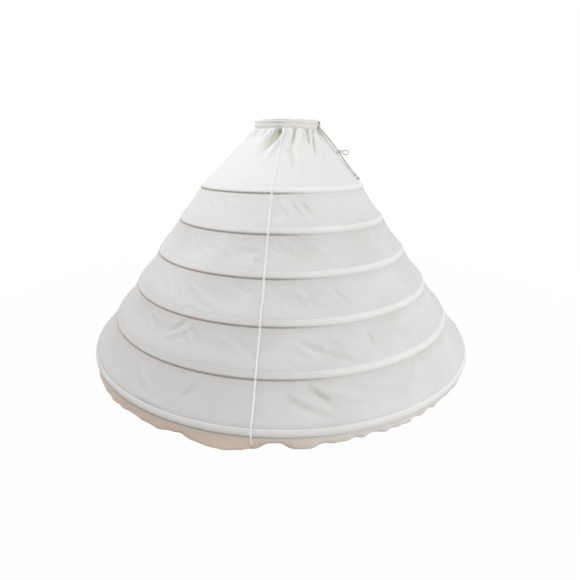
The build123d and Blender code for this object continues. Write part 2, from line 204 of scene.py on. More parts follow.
def profile():
    """The rows of the skirt from the waistband to the hem: (radius, height, zone, number, share) each."""
    rows = [(YOKE_TOP_RADIUS, WAIST_Z + BAND_SEAM, ZONE_YOKE, 0, 0.0)]
    for k in range(YOKE_ROWS):
        share = (k / YOKE_ROWS) ** YOKE_ROW_POWER
        point = np.array(CORNERS[0]) * (1 - share) + YOKE_END * share
        point = point + SEATS[0].out * droop(0, share)
        rows.append((*point, ZONE_YOKE, 0, share))
    for index, seat in enumerate(SEATS):
        for along, out in CHANNEL_MM:
            out += DROOP_MM[index] * (1 - smooth_step((along + FLAT_HALF_MM) / FLAT_HALF_MM))
            rows.append((*seat.at(along, out), ZONE_CHANNEL, index, along))
        start = seat.at(FLAT_HALF_MM, 0.0)
        if index == HOOP_COUNT - 1:
            break
        end = SEATS[index + 1].at(-FLAT_HALF_MM, 0.0)
        way = unit(start, end)
        inward = np.array((way[1], -way[0]))
        for k in range(1, TIER_ROWS):
            share = k / TIER_ROWS
            point = start * (1 - share) + end * share + inward * TIER_SAG * 4 * share * (1 - share)
            point = point - inward * droop(index + 1, share)
            rows.append((*point, ZONE_TIER, index, share))
    for k in range(1, FRILL_ROWS + 1):
        share = k / FRILL_ROWS
        point = FRILL_TOP * (1 - share) + np.array((HEM_RADIUS, 0.0)) * share
        rows.append((*point, ZONE_FRILL, 0, share))
    return np.array(rows)


ROWS = profile()
ROW_R, ROW_Z, ROW_ZONE, ROW_NUMBER, ROW_SHARE = ROWS.T[:, :, None]


def row_normals():
    """The outward normal of each row in the half plane, from its neighbours."""
    way = np.gradient(ROWS[:, :2], axis=0)
    way /= np.linalg.norm(way, axis=1)[:, None]
    return -way[:, 1:2], way[:, 0:1]


NORMAL_R, NORMAL_Z = row_normals()
SLANT = np.concatenate([[0.0], np.cumsum(np.linalg.norm(np.diff(ROWS[:, :2], axis=0), axis=1))])[:, None]


def lean(height):
    """How far the cloth has moved towards +X at a height: the waistband hangs beside the hoops' axis."""
    return WAIST_OFFSET * np.clip((height - YOKE_END[1]) / (WAIST_Z - YOKE_END[1]), 0.0, 1.0)


def base_point(azimuth, height):
    """The point of the unfolded cloth at an azimuth and a height."""
    radius = np.interp(height, ROWS[::-1, 1], ROWS[::-1, 0])
    x, y = ray(azimuth)
    return np.stack([radius * x + lean(height), radius * y, height + 0 * radius], axis=-1)


# Folds

# Waves round the skirt, as (count, share of the depth, phase). A billow's phase is a factor of its tier.
GATHER_DEPTH = 0.0065
GATHER_RISE = 0.014
GATHER_FADE = 0.106
GATHER_WAVES = ((19, 0.45, 20.0), (26, 0.35, 140.0), (11, 0.20, 75.0))
PLEAT_DEPTH = 0.0030
PLEAT_RISE = 0.006
PLEAT_FADE = 0.050
PLEAT_WAVES = ((53, 0.5, 10.0), (71, 0.3, 95.0), (97, 0.2, 210.0))
PLEAT_DRIFT = 40.0
PLEAT_SWAY = 0.8
PLEAT_SEAM_SHARE = 0.35
FLUTE_DEPTH = 0.010
FLUTE_WAVES = ((17, 0.5, 10.0), (11, 0.3, 200.0), (29, 0.2, 90.0))
RIPPLE_DEPTH = 0.0024
RIPPLE_WAVES = ((61, 0.5, 30.0), (83, 0.3, 120.0), (109, 0.2, 250.0))
# The ripples' strength on the left, and what the right adds to it
RIPPLE_LEFT = 0.7
RIPPLE_RIGHT = 0.8
BILLOW_DEPTH = 0.001
BILLOW_WAVES = ((5, 1.0, 2.1), (9, 0.7, 1.3), (14, 0.5, 1.0))
BILLOW_ROUNDNESS = 0.8
PUCKER_DEPTH = 0.0003
PUCKER_LENGTH = 0.021
PUCKER_REACH = 0.016
PUCKER_SECOND = 0.61
CHANNEL_SHARE = 0.35
CALM_DROP = 0.008

# The front follows the photograph's own folds, and the waves take over towards the back
FRONT_HALF_ANGLE = 70.0
FRONT_BLEND_ANGLE = 20.0

# Folds of the yoke's front: a line of (azimuth, height in mm), its width and depth in mm, where a
# positive depth is a ridge, and the side on which it falls off steeply: 1 right, -1 left, 0 neither
YOKE_FOLDS = [
    ([(-9.9, 686), (-12, 667), (-19, 645), (-24, 624), (-33, 590)], 9.5, -9.5, 1),
    ([(-9.4, 688), (-11.4, 668), (-18.2, 646), (-23.2, 624), (-29, 606)], 1.9, -5.0, 0),
    ([(-14, 686), (-19, 667), (-27, 645), (-36, 615)], 9.0, -3.0, 0),
    ([(-5, 686), (-7, 664), (-13, 632), (-20, 600), (-26, 575)], 6.0, 3.2, -1),
    ([(-25, 686), (-30, 660), (-37, 630)], 6.0, 2.6, 0),
    ([(-34, 688), (-41, 674), (-47, 646)], 2.8, -7.0, 1),
    ([(-38, 686), (-43, 672), (-50, 655)], 4.0, 3.2, 0),
    ([(-49, 688), (-54, 672), (-58, 642)], 2.8, -7.5, 1),
    ([(-56, 686), (-59, 672), (-65, 650)], 4.4, 3.4, 0),
    ([(-70, 688), (-76, 671), (-81, 638)], 3.0, -7.5, 1),
    ([(-1.1, 686), (-2.5, 659), (-2.8, 625)], 3.4, -3.0, 0),
    ([(3.5, 686), (2.5, 655), (1, 615)], 3.6, 3.0, 0),
    ([(8, 686), (5.5, 660), (3, 630)], 3.6, 2.2, 0),
    ([(14, 686), (9.3, 659), (6.1, 629), (3.7, 603)], 4.6, -5.0, 1),
    ([(22, 686), (16, 645), (13, 600), (12, 560)], 8.5, 3.6, 0),
    ([(29, 686), (23, 655), (20, 625)], 3.6, -2.4, 0),
    ([(37, 686), (30, 652), (26, 615), (24, 590)], 5.5, -5.0, 1),
    ([(43, 686), (34, 650), (30, 615)], 4.0, 3.4, 0),
    ([(49, 686), (38, 650), (31, 612), (28, 585)], 5.5, -5.5, 1),
    ([(44, 640), (37, 600), (33, 560)], 10.0, 3.6, 0),
    ([(66, 690), (61, 668), (54, 640)], 9.5, -6.0, 0),
    ([(55, 690), (52, 670), (48, 652)], 6.0, -4.5, 0),
    ([(75, 686), (70, 664), (64, 640)], 5.0, -3.4, 0),
    ([(-44, 640), (-40, 600), (-34, 560)], 16.0, 1.8, 0),
    ([(4, 620), (8, 585), (10, 550)], 13.0, -2.2, 0),
    ([(-12, 640), (-17, 605), (-24, 565)], 4.5, 2.2, -1),
    ([(28, 640), (25, 590), (24, 545)], 12.0, 2.4, 0),
]

# Creases of the tiers' front, in the same form
TIER_FOLDS = [
    # Below the first hoop
    ([(-3.2, 503), (1.2, 471), (5, 445)], 4.7, -2.8, 1),
    ([(3.6, 505), (8, 476), (13, 445)], 4.7, -2.8, 1),
    ([(10, 505), (14, 478), (20, 452)], 4.7, -2.0, 1),
    ([(-30, 495), (-20, 483), (-8, 468)], 3.9, 1.7, 1),
    ([(-36, 492), (-26, 474), (-16, 462)], 3.9, 1.5, 0),
    ([(-46, 500), (-41, 475), (-36, 450)], 4.3, 2.0, 0),
    ([(-52, 500), (-46, 470)], 4.3, -2.0, 0),
    # Below the second
    ([(-18, 384), (-13, 374), (-7.1, 384)], 4.3, -4.1, -1),
    ([(-12, 360), (-9, 361), (-6, 367)], 3.9, -2.9, 0),
    ([(-37, 375), (-28, 361)], 3.9, 1.8, 0),
    ([(-32, 395), (-24, 382), (-16, 370)], 3.9, 1.7, 1),
    ([(-2.7, 405), (3.4, 373)], 4.3, -2.4, 0),
    ([(1.1, 400), (7.1, 360)], 4.3, -2.2, 0),
    ([(12, 405), (17, 385), (24, 366)], 4.7, 1.8, 1),
    # Below the third
    ([(-36, 304), (-28, 281), (-19, 267)], 4.3, 2.9, 1),
    ([(-33, 284), (-26, 268), (-18, 258)], 3.9, 1.7, 0),
    ([(-34, 259), (-26, 252)], 3.9, 2.0, 0),
    ([(-18, 310), (-12, 296), (-7, 288)], 4.3, -2.2, 0),
    ([(-2, 286), (2.7, 263)], 4.3, 2.9, 1),
    ([(3.6, 309), (9.4, 287), (17, 277)], 5.2, 3.2, 1),
    ([(17, 309), (20, 282), (23, 267)], 4.7, -2.8, 1),
    ([(23, 305), (24, 279)], 3.9, -2.2, 0),
    # Below the fourth
    ([(-37, 186), (-31, 211), (-30, 230)], 5.6, -3.3, 1),
    ([(-37, 172), (-30, 198), (-25, 226)], 5.6, 2.9, 0),
    ([(-31, 170), (-28, 157)], 3.9, 2.0, 0),
    ([(-20, 214), (-14, 196), (-8, 180)], 4.7, 1.8, 1),
    ([(4.7, 208), (10, 185), (18, 164), (23, 151)], 6.0, -4.2, 1),
    ([(2.4, 199), (10, 169)], 5.2, 2.8, 0),
    ([(26, 212), (27, 166)], 4.7, -2.9, 1),
    ([(1.1, 176), (4.7, 147)], 4.7, -2.4, 0),
    ([(12, 214), (20, 190), (30, 172)], 5.2, 2.0, 1),
    ([(-46, 204), (-40, 191)], 5.6, -2.9, 0),
    # Below the fifth
    ([(-19, 121), (-22, 95), (-24, 76)], 5.2, -3.3, -1),
    ([(-37, 67), (-31, 62), (-27, 64)], 5.2, 2.9, 0),
    ([(5.2, 124), (8.6, 110), (11, 93), (14, 75)], 6.0, -4.6, 1),
    ([(1.7, 114), (3.2, 97), (8.6, 78), (13, 65)], 6.0, -4.1, 1),
    ([(6.8, 121), (12, 104), (23, 86)], 5.6, 3.3, -1),
    ([(16, 122), (24, 104), (34, 92)], 5.2, 2.2, -1),
    ([(37, 110), (29, 77)], 4.7, 2.6, 0),
]

# The hem's front, as (azimuth, how far out of its even circle in mm), and how far it lifts off the
# floor for each step inwards
FRONT_HEM = [
    (-66, 7), (-54, 9), (-45, 10), (-37, 5), (-29, 8), (-23, -2), (-19, 9), (-13, 17),
    (-9, 12), (-6, 3), (-2.3, -10), (0, -10), (4, 4), (6, 1), (9, -5), (14.5, -5),
    (20, -8), (28, -4), (37, -6), (46, -5), (54, -1), (62, 4), (72, 6),
]
HEM_LIFT = 0.55

# Creases drawn at random: their number in each tier, the azimuths between which they start, and their
# size, at the sides and back and at the front
CREASES_PER_TIER = 34
CREASE_AZIMUTHS = (75, 285)
CREASE_SIZES = (0.5, 1.0)
FRONT_CREASES_PER_TIER = 12
FRONT_CREASE_AZIMUTHS = (-70, 70)
FRONT_CREASE_SIZES = (0.4, 0.8)
# How far down the tier they reach, how slanted and bent they are, and their depth and width in mm
CREASE_LOWEST_START = 0.35
CREASE_FALLS = (0.3, 0.9)
CREASE_SLANTS = (0.3, 2.2)
CREASE_BENDS = (0.25, 0.75)
CREASE_DEPTHS_MM = (1.2, 2.6)
CREASE_WIDTHS_MM = (4.5, 8.5)
# The chances that one runs towards smaller azimuths, and that it is a valley
CREASE_BACKWARD = 0.35
CREASE_VALLEY = 0.6


def seam_share(azimuth):
    """0 along each seam, where the cloth lies flat under its tape, and 1 away from the seams."""
    from_seam = (azimuth - FRONT_SEAM_AZIMUTH) % GORE_ANGLE
    nearest = np.minimum(from_seam, GORE_ANGLE - from_seam)
    return smooth_step((nearest - SEAM_FLAT_ANGLE) / SEAM_RAMP_ANGLE)


def front_share(azimuth):
    """1 at the front and 0 at the back."""
    turn = np.abs((azimuth + 180.0) % 360.0 - 180.0)
    return 1 - smooth_step((turn - FRONT_HALF_ANGLE) / FRONT_BLEND_ANGLE)


def right_share(azimuth):
    """0 on the skirt's left side, where the cloth is pulled tight over the hoops, and 1 on its right."""
    return smooth_step((np.sin(np.radians(azimuth)) + 0.12) / 0.45)


def waves(azimuth, terms):
    """An irregular row of folds round the skirt. Angles count from +X, as in the solids."""
    angle = np.radians(azimuth - 90.0)
    return sum(share * np.cos(count * angle + math.radians(phase)) for count, share, phase in terms)


def pinched(azimuth, terms, drift):
    """Like waves, with round ridges and sharp valleys that wander by drift radians."""
    angle = np.radians(azimuth - 90.0)
    total = 0.0
    for count, share, phase in terms:
        half = (count * angle + math.radians(phase) + drift) / 2
        total = total + share * (2 * np.sqrt(np.cos(half) ** 2 + 0.02) - 1.1)
    return total


def yoke_offset(azimuth, drop):
    """Gathers of the yoke, by how far it is below the waistband."""
    back = 1 - front_share(azimuth)
    risen = smooth_step(drop / GATHER_RISE)
    faded = 1 - smooth_step((drop - GATHER_RISE) / GATHER_FADE)
    gathers = GATHER_DEPTH * risen * faded * back * waves(azimuth, GATHER_WAVES) * seam_share(azimuth)
    fine = smooth_step(drop / PLEAT_RISE) * (1 - smooth_step((drop - PLEAT_RISE) / PLEAT_FADE))
    drift = PLEAT_DRIFT * drop * np.sin(np.radians(3.0 * azimuth))
    drift = drift + PLEAT_SWAY * np.sin(np.radians(5.0 * azimuth + 40.0))
    pleats = PLEAT_DEPTH * fine * pinched(azimuth, PLEAT_WAVES, drift)
    return gathers + pleats * (PLEAT_SEAM_SHARE + (1 - PLEAT_SEAM_SHARE) * seam_share(azimuth))


def tier_offset(azimuth, number, share):
    """The slow billow of the cloth between two hoops, which differs from tier to tier."""
    a = np.radians(azimuth)
    swing = sum(part * np.cos(count * a + phase * number) for count, part, phase in BILLOW_WAVES)
    return BILLOW_DEPTH * swing * np.sin(np.pi * share) ** BILLOW_ROUNDNESS * seam_share(azimuth)


def pucker_offset(azimuth, number, from_line):
    """Short puckers where the cloth is stitched to a casing, fading away from the stitching."""
    radius = TOP_HOOP_RADIUS + number * (BOTTOM_HOOP_RADIUS - TOP_HOOP_RADIUS) / (HOOP_COUNT - 1)
    count = np.round(2 * np.pi * radius / PUCKER_LENGTH)
    a = np.radians(azimuth)
    first = np.cos(count * a + number) * (0.6 + 0.4 * np.cos(7 * a + 2 * number))
    second = 0.6 * np.cos(np.round(count * PUCKER_SECOND) * a + 3 * number)
    return PUCKER_DEPTH * (first + second) * bell(from_line / PUCKER_REACH)


def flute_offset(azimuth):
    """The frill's flutes at the hem."""
    turn = (azimuth + 180.0) % 360.0 - 180.0
    at, out = np.array(FRONT_HEM).T
    before = np.clip(np.searchsorted(at, turn) - 1, 0, len(at) - 2)
    share = smooth_step((turn - at[before]) / (at[before + 1] - at[before]))
    own = MM * (out[before] * (1 - share) + out[before + 1] * share)
    front = front_share(azimuth)
    flutes = FLUTE_DEPTH * waves(azimuth, FLUTE_WAVES) * seam_share(azimuth)
    ripples = RIPPLE_DEPTH * waves(azimuth, RIPPLE_WAVES)
    ripples = ripples * (RIPPLE_LEFT + RIPPLE_RIGHT * right_share(azimuth))
    return front * own + (1 - front) * flutes + ripples


def random_creases():
    """Seeded creases for the tiers, most of them at the back, where the photograph shows nothing."""
    rng = np.random.default_rng(SEED)
    creases = []
    for index in range(HOOP_COUNT - 1):
        top = SEATS[index].at(FLAT_HALF_MM, 0)[1] / MM
        bottom = SEATS[index + 1].at(-FLAT_HALF_MM, 0)[1] / MM
        radius = HOOP_POINTS[index][0] / MM
        number = CREASES_PER_TIER + FRONT_CREASES_PER_TIER
        for k in range(number):
            at_front = k >= CREASES_PER_TIER
            azimuth = rng.uniform(*(FRONT_CREASE_AZIMUTHS if at_front else CREASE_AZIMUTHS))
            size = rng.uniform(*(FRONT_CREASE_SIZES if at_front else CREASE_SIZES))
            start = rng.uniform(bottom + CREASE_LOWEST_START * (top - bottom), top - 2)
            fall = rng.uniform(*CREASE_FALLS) * (start - bottom)
            run = math.degrees(rng.uniform(*CREASE_SLANTS) * fall / radius)
            run = run * rng.choice([-1, 1], p=[CREASE_BACKWARD, 1 - CREASE_BACKWARD])
            bent = azimuth + run * rng.uniform(*CREASE_BENDS)
            line = [(azimuth, start), (bent, start - fall / 2), (azimuth + run, start - fall)]
            depth = size * rng.choice([-1, 1], p=[CREASE_VALLEY, 1 - CREASE_VALLEY])
            depth = depth * rng.uniform(*CREASE_DEPTHS_MM)
            creases.append((line, rng.uniform(*CREASE_WIDTHS_MM), depth, int(rng.choice([-1, 0, 1]))))
    return creases


def smooth_line(points, count):
    """Even points along a smooth line through a few."""
    points = np.array(points, float)
    s = np.linspace(0, 1, len(points))
    t = np.linspace(0, 1, count)
    if len(points) < 3:
        return np.stack([np.interp(t, s, points[:, k]) for k in (0, 1)], axis=-1)
    fits = [np.polyfit(s, points[:, k], min(3, len(points) - 1)) for k in (0, 1)]
    return np.stack([np.polyval(f, t) for f in fits], axis=-1)


# Cross-section of a fold, in widths: a hump with a dip beside it, given as (depth, place, width). One
# that falls off steeply on one side is stretched on its other side and squeezed on this one.
FOLD_STEPS = 14
FOLD_REACH = 4.0
ROUND_DIP = (0.25, 1.8, 0.9)
STEEP_DIP = (0.45, 1.3, 0.7)
GENTLE_STRETCH = 1.7
STEEP_SQUEEZE = 1.5
# The share of a fold's length in which it begins, and in which it ends: a crease's and a gather's
FOLD_ENTRY = 0.3
CREASE_END = 0.45
GATHER_END = 0.75


def add_fold(offset, points, normals, fold, start_full):
    """Adds one fold to the offsets of all the points that lie near its line."""
    line, width, depth, steep = fold
    track = smooth_line(line, FOLD_STEPS)
    track = base_point(track[:, 0], track[:, 1] * MM)
    width, depth = width * MM, depth * MM
    reach = FOLD_REACH * width
    low, high = track.min(0) - reach, track.max(0) + reach
    near = np.flatnonzero(np.all((points > low) & (points < high), axis=1))
    if len(near) == 0:
        return
    p = points[near]
    best = np.full(len(near), 1e9)
    side = np.zeros(len(near))
    share = np.zeros(len(near))
    for k in range(len(track) - 1):
        a, b = track[k], track[k + 1]
        way = b - a
        t = np.clip(((p - a) @ way) / (way @ way), 0, 1)
        away = p - (a + t[:, None] * way)
        distance = np.linalg.norm(away, axis=1)
        closer = distance < best
        best[closer] = distance[closer]
        across = np.cross(normals[near], way)
        side[closer] = np.sign(np.einsum("ij,ij->i", away, across))[closer]
        share[closer] = (k + t[closer]) / (len(track) - 1)
    s = best * side / width
    if steep == 0:
        hump, beside = s, np.abs(s)
        dip, place, wide = ROUND_DIP
    else:
        beside = s * steep
        hump = np.where(beside < 0, beside / GENTLE_STRETCH, beside * STEEP_SQUEEZE)
        dip, place, wide = STEEP_DIP
    shape = bell(hump) - dip * bell((beside - place) / wide)
    entry = 1.0 if start_full else smooth_step(share / FOLD_ENTRY)
    taper = entry * smooth_step((1 - share) / (GATHER_END if start_full else CREASE_END))
    offset[near] += depth * shape * taper


def cloth_grid(azimuth):
    """Places, outward directions and offsets of the whole profile at a row of azimuths."""
    azimuth = azimuth[None, :]
    x, y = ray(azimuth)
    points = np.stack([ROW_R * x + lean(ROW_Z), ROW_R * y, ROW_Z + 0 * x], axis=-1)
    normals = np.stack([NORMAL_R * x, NORMAL_R * y, NORMAL_Z + 0 * x], axis=-1)
    drop = np.clip(WAIST_Z - ROW_Z, 0.0, None)
    offset = np.where(ROW_ZONE == ZONE_YOKE, yoke_offset(azimuth, drop), 0.0)
    offset = offset + np.where(ROW_ZONE == ZONE_TIER, tier_offset(azimuth, ROW_NUMBER, ROW_SHARE), 0.0)
    for index, seat in enumerate(SEATS):
        along = (ROW_Z - seat.centre[1]) / seat.along[1]
        from_line = np.abs(np.abs(along) - STITCH_BELOW_MM * MM)
        offset = offset + pucker_offset(azimuth, index, from_line)
    ease = np.interp(ROW_SHARE, *np.array(EASE_MM).T) * MM * right_share(azimuth)
    offset = offset + np.where(ROW_ZONE == ZONE_CHANNEL, ease, 0.0)
    flat = offset.reshape(-1)
    p, n = points.reshape(-1, 3), normals.reshape(-1, 3)
    for fold in YOKE_FOLDS:
        add_fold(flat, p, n, fold, True)
    for fold in TIER_FOLDS + CREASES:
        add_fold(flat, p, n, fold, False)
    offset = flat.reshape(offset.shape)
    yoke = ROW_ZONE == ZONE_YOKE
    calm = smooth_step(drop / CALM_DROP)
    offset = np.where(yoke, offset * calm, offset)
    channel = (ROW_ZONE == ZONE_CHANNEL) & (np.abs(ROW_SHARE) < STITCH_BELOW_MM)
    offset = np.where(channel, offset * CHANNEL_SHARE, offset)
    folded = points + normals * offset[..., None]
    hang = np.where(ROW_ZONE == ZONE_FRILL, ROW_SHARE, 0.0)
    flute = flute_offset(azimuth) * smooth_step(hang)
    folded = folded + np.stack([x * flute, y * flute, HEM_LIFT * np.clip(-flute, 0, None)], axis=-1)
    return folded, offset


# Meshes

def new_object(name, data):
    obj = bpy.data.objects.new(name, data)
    bpy.context.scene.collection.objects.link(obj)
    return obj


def new_piece(name, data, material):
    """A new piece of the scene that rides on the part's one body."""
    data.materials.append(material)
    obj = new_object(name, data)
    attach(obj, "root")
    return obj


def mesh_from(name, points, faces, attributes=()):
    """A smooth mesh with float or vector attributes on its points."""
    mesh = bpy.data.meshes.new(name)
    mesh.from_pydata(points.reshape(-1, 3).tolist(), [], faces)
    mesh.polygons.foreach_set("use_smooth", np.ones(len(mesh.polygons), bool))
    for label, values in attributes:
        kind = "FLOAT" if values.shape[-1] == 1 else "FLOAT_VECTOR"
        data = mesh.attributes.new(label, kind, "POINT").data
        data.foreach_set("value" if kind == "FLOAT" else "vector", values.astype(np.float32).ravel())
    mesh.update()
    return mesh


def grid_faces(rows, columns, offset=0):
    """Quads of a grid whose points run along the columns first."""
    faces = []
    for r in range(rows - 1):
        for c in range(columns - 1):
            a = offset + r * columns + c
            faces.append((a, a + columns, a + columns + 1, a + 1))
    return faces


def surface_normals(points):
    """Normals of a folded grid, pointing outwards."""
    down = np.gradient(points, axis=0)
    across = np.gradient(points, axis=1)
    normals = np.cross(down, across)
    return normals / np.linalg.norm(normals, axis=-1, keepdims=True)


def closed_sheet(outer, inner):
    """Points and faces of a sheet with an outer and an inner side and four closed edges."""
    rows, columns = outer.shape[:2]
    size = rows * columns
    faces = grid_faces(rows, columns)
    faces += [tuple(reversed(f)) for f in grid_faces(rows, columns, size)]
    for c in range(columns - 1):
        faces.append((c, c + 1, size + c + 1, size + c))
        low = (rows - 1) * columns + c
        faces.append((low + 1, low, size + low, size + low + 1))
    for r in range(rows - 1):
        left = r * columns
        faces.append((left + columns, left, size + left, size + left + columns))
        right = left + columns - 1
        faces.append((right, right + columns, size + right + columns, size + right))
    return np.concatenate([outer.reshape(-1, 3), inner.reshape(-1, 3)]), faces


def seam_azimuth(index):
    return FRONT_SEAM_AZIMUTH + index * GORE_ANGLE


def on_both_sides(values):
    """A value of a sheet's grid for the points of its outer and its inner side."""
    flat = values.reshape(-1, values.shape[-1])
    return np.concatenate([flat, flat])


def build_gore(index, name, material):
    """One gore, from its gathered edge inside the waistband down to the hem."""
    edge = math.degrees(SEAM_GAP / 2 / BOTTOM_HOOP_RADIUS)
    azimuth = np.linspace(seam_azimuth(index) + edge, seam_azimuth(index + 1) - edge, GORE_COLUMNS)
    outer, offset = cloth_grid(azimuth)
    inner = outer - surface_normals(outer) * CLOTH
    points, faces = closed_sheet(outer, inner)
    width = np.radians(azimuth - azimuth[0])[None, :] * ROW_R
    # The valleys' and the split's painted shade, the grooves' painted shade, and the channels' whiteness
    # with its painted light
    shades = {
        "valley": np.maximum(np.clip(-offset / FULL_VALLEY, 0, 1), split_painted_shade(azimuth)),
        "groove": groove_shade(azimuth),
        "band": band_shade(azimuth),
        "right": right_share(azimuth)[None, :] + 0 * ROW_R,
    }
    attributes = [("cloth", on_both_sides(np.stack([width, SLANT + 0 * width, 0 * width], axis=-1)))]
    attributes += [(label, on_both_sides(values[..., None])) for label, values in shades.items()]
    mesh = mesh_from(name, points, faces, attributes)
    obj = new_piece(f"{name}_cloth", mesh, material)
    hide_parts(name)


def groove_shade(azimuth):
    """Painted shade: 1 in the groove under a hoop on the left side, fading towards the right, with a
    fainter painted shadow below each channel.
    """
    near = bell((ROW_SHARE - STITCH_BELOW_MM) / GROOVE_HALF_MM)
    beside = PAINTED_SHADOW_SHARE * bell((ROW_SHARE - STITCH_BELOW_MM) / PAINTED_SHADOW_HALF_MM)
    channel = np.where(ROW_SHARE > STITCH_BELOW_MM, np.maximum(near, beside), near)
    below = PAINTED_SHADOW_SHARE * bell(ROW_SHARE / PAINTED_SHADOW_TIER_SHARE)
    shade = np.where(ROW_ZONE == ZONE_CHANNEL, channel, np.where(ROW_ZONE == ZONE_TIER, below, 0.0))
    left = 1 - GROOVE_FADE * right_share(azimuth)
    return np.maximum(shade * left[None, :], np.minimum(shade, PAINTED_SHADOW_SHARE))


def split_painted_shade(azimuth):
    """Painted shade: a beige patch on the yoke beside the split, under the waistband, added to the valleys'
    painted shade.
    """
    aside = smooth_step((azimuth - SPLIT_SHADE_AZIMUTHS[0]) / SPLIT_SHADE_FADE)
    aside = aside * smooth_step((SPLIT_SHADE_AZIMUTHS[1] - azimuth) / SPLIT_SHADE_FADE)
    return SPLIT_SHADE_SHARE * aside[None, :] * smooth_step((ROW_Z - SPLIT_SHADE_LOW) / SPLIT_SHADE_SOFT)


def band_shade(azimuth):
    """The whiter channel, partly the casing's own white and partly painted light: a little over its whole
    width, painted highlights along its raised lines, fading towards the left.
    """
    inside = smooth_step((EDGE_MM - np.abs(ROW_SHARE)) / BAND_SOFT_MM)
    lines = sum(share * bell((ROW_SHARE - at) / BAND_LINE_HALF_MM) for at, share in BAND_HIGHLIGHT_LINES)
    shade = np.where(ROW_ZONE == ZONE_CHANNEL, np.clip(BAND_BODY * inside + lines, 0, 1), 0.0)
    left = np.where(ROW_NUMBER == HOOP_COUNT - 1, BAND_LEFT_SHARE_AT_BOTTOM, BAND_LEFT_SHARE)
    return shade * (left + (1 - left) * right_share(azimuth)[None, :])


# Stitches: a slim diamond bar each, sunk by half in the cloth
STITCH_LENGTH = 0.0030
STITCH_PITCH = 0.0042
STITCH_WIDTH = 0.0009
STITCH_RISE = 1.3


def stitch_rows(name, lines, material):
    """Stitches along several lines, each given as its points and the surface's normals there."""
    points = []
    faces = []
    for track, normals in lines:
        steps = np.linalg.norm(np.diff(track, axis=0), axis=1)
        reached = np.concatenate([[0.0], np.cumsum(steps)])
        count = int(reached[-1] / STITCH_PITCH)
        middles = (np.arange(count) + 0.5) * reached[-1] / max(count, 1)
        for middle in middles:
            ends = [middle - STITCH_LENGTH / 2, middle + STITCH_LENGTH / 2]
            a, b = [np.array([np.interp(e, reached, track[:, k]) for k in range(3)]) for e in ends]
            n = np.array([np.interp(middle, reached, normals[:, k]) for k in range(3)])
            way = (b - a) / np.linalg.norm(b - a)
            n = n - way * (n @ way)
            n /= np.linalg.norm(n)
            side = np.cross(way, n)
            centre = (a + b) / 2
            half = STITCH_WIDTH / 2
            base = len(points)
            points += [a, b, centre + side * half, centre + n * half * STITCH_RISE]
            points += [centre - side * half, centre - n * half]
            ring = [base + 2, base + 3, base + 4, base + 5]
            for k in range(4):
                here, after = ring[k], ring[(k + 1) % 4]
                faces.append((base, here, after))
                faces.append((base + 1, after, here))
    new_piece(name, mesh_from(name, np.array(points), faces), material)


def build_stitching(material):
    """The two rows of topstitching along each hoop's channel."""
    grid = CLOTH_ROUND
    normals = surface_normals(grid)
    for index in range(HOOP_COUNT):
        mine = (ROWS[:, 2] == ZONE_CHANNEL) & (ROWS[:, 3] == index)
        lines = []
        for at in (STITCH_ABOVE_MM, STITCH_BELOW_MM):
            row = int(np.flatnonzero(mine & (np.abs(ROWS[:, 4] - at) < 0.01))[0])
            lines.append((grid[row], normals[row]))
        stitch_rows(f"topstitching_{index + 1}", lines, material)


TAPE_COLUMNS = 9
# Azimuths at which the cloth beside a seam is felt for folds, counted from the seam
TAPE_SAMPLES = (-1.5, 0.0, 1.5)


def tape_layer(azimuth, rows, shift, out):
    """One side of a seam tape: shift is how far aside of the seam a point is, out how far off the cloth."""
    x, y = ray(azimuth)
    radius = ROW_R[rows] + NORMAL_R[rows] * out
    height = ROW_Z[rows] + NORMAL_Z[rows] * out
    leaning = lean(ROW_Z[rows])
    return np.stack([radius * x - shift * y + leaning, radius * y + shift * x, height + 0 * shift], axis=-1)


def build_seam_tape(index, name, material, thread):
    """The tape over one seam, following the cloth over every channel, stitched at both edges."""
    azimuth = seam_azimuth(index)
    rows = np.arange(1, len(ROWS))
    half = SEAM_TAPE_WIDTH / 2 - TAPE_ROLL
    across = np.linspace(-half, half, TAPE_COLUMNS)[None, :]
    z = ROW_Z[rows]
    lift = cloth_grid(azimuth + np.array(TAPE_SAMPLES))[1].max(axis=1)[rows][:, None] + LAYER_GAP
    wander = 0.0002 * np.sin(z * 90 + index) + 0.0002 * np.sin(z * 210 + 2 * index)
    puff = TAPE_PUFF * np.cos(across / half * np.pi / 2) ** 0.7 * (1 + 0.3 * np.sin(z * 320 + index))
    shift = across + wander
    points = tape_layer(azimuth, rows, shift, lift + TAPE + puff)
    mesh_points, faces = closed_sheet(points, tape_layer(azimuth, rows, shift, lift))
    cloth = np.stack([shift, SLANT[rows] + 0 * shift, 0 * shift], axis=-1)
    mesh = mesh_from(name, mesh_points, faces, [("cloth", on_both_sides(cloth))])
    obj = new_piece(f"{name}_cloth", mesh, material)
    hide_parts(name)
    x, y = ray(azimuth)
    normals = np.stack([NORMAL_R[rows] * x, NORMAL_R[rows] * y, NORMAL_Z[rows] + 0 * x], axis=-1)[:, 0, :]
    lines = [(points[:, column], normals) for column in (1, TAPE_COLUMNS - 2)]
    stitch_rows(f"{name}_stitches", lines, thread)


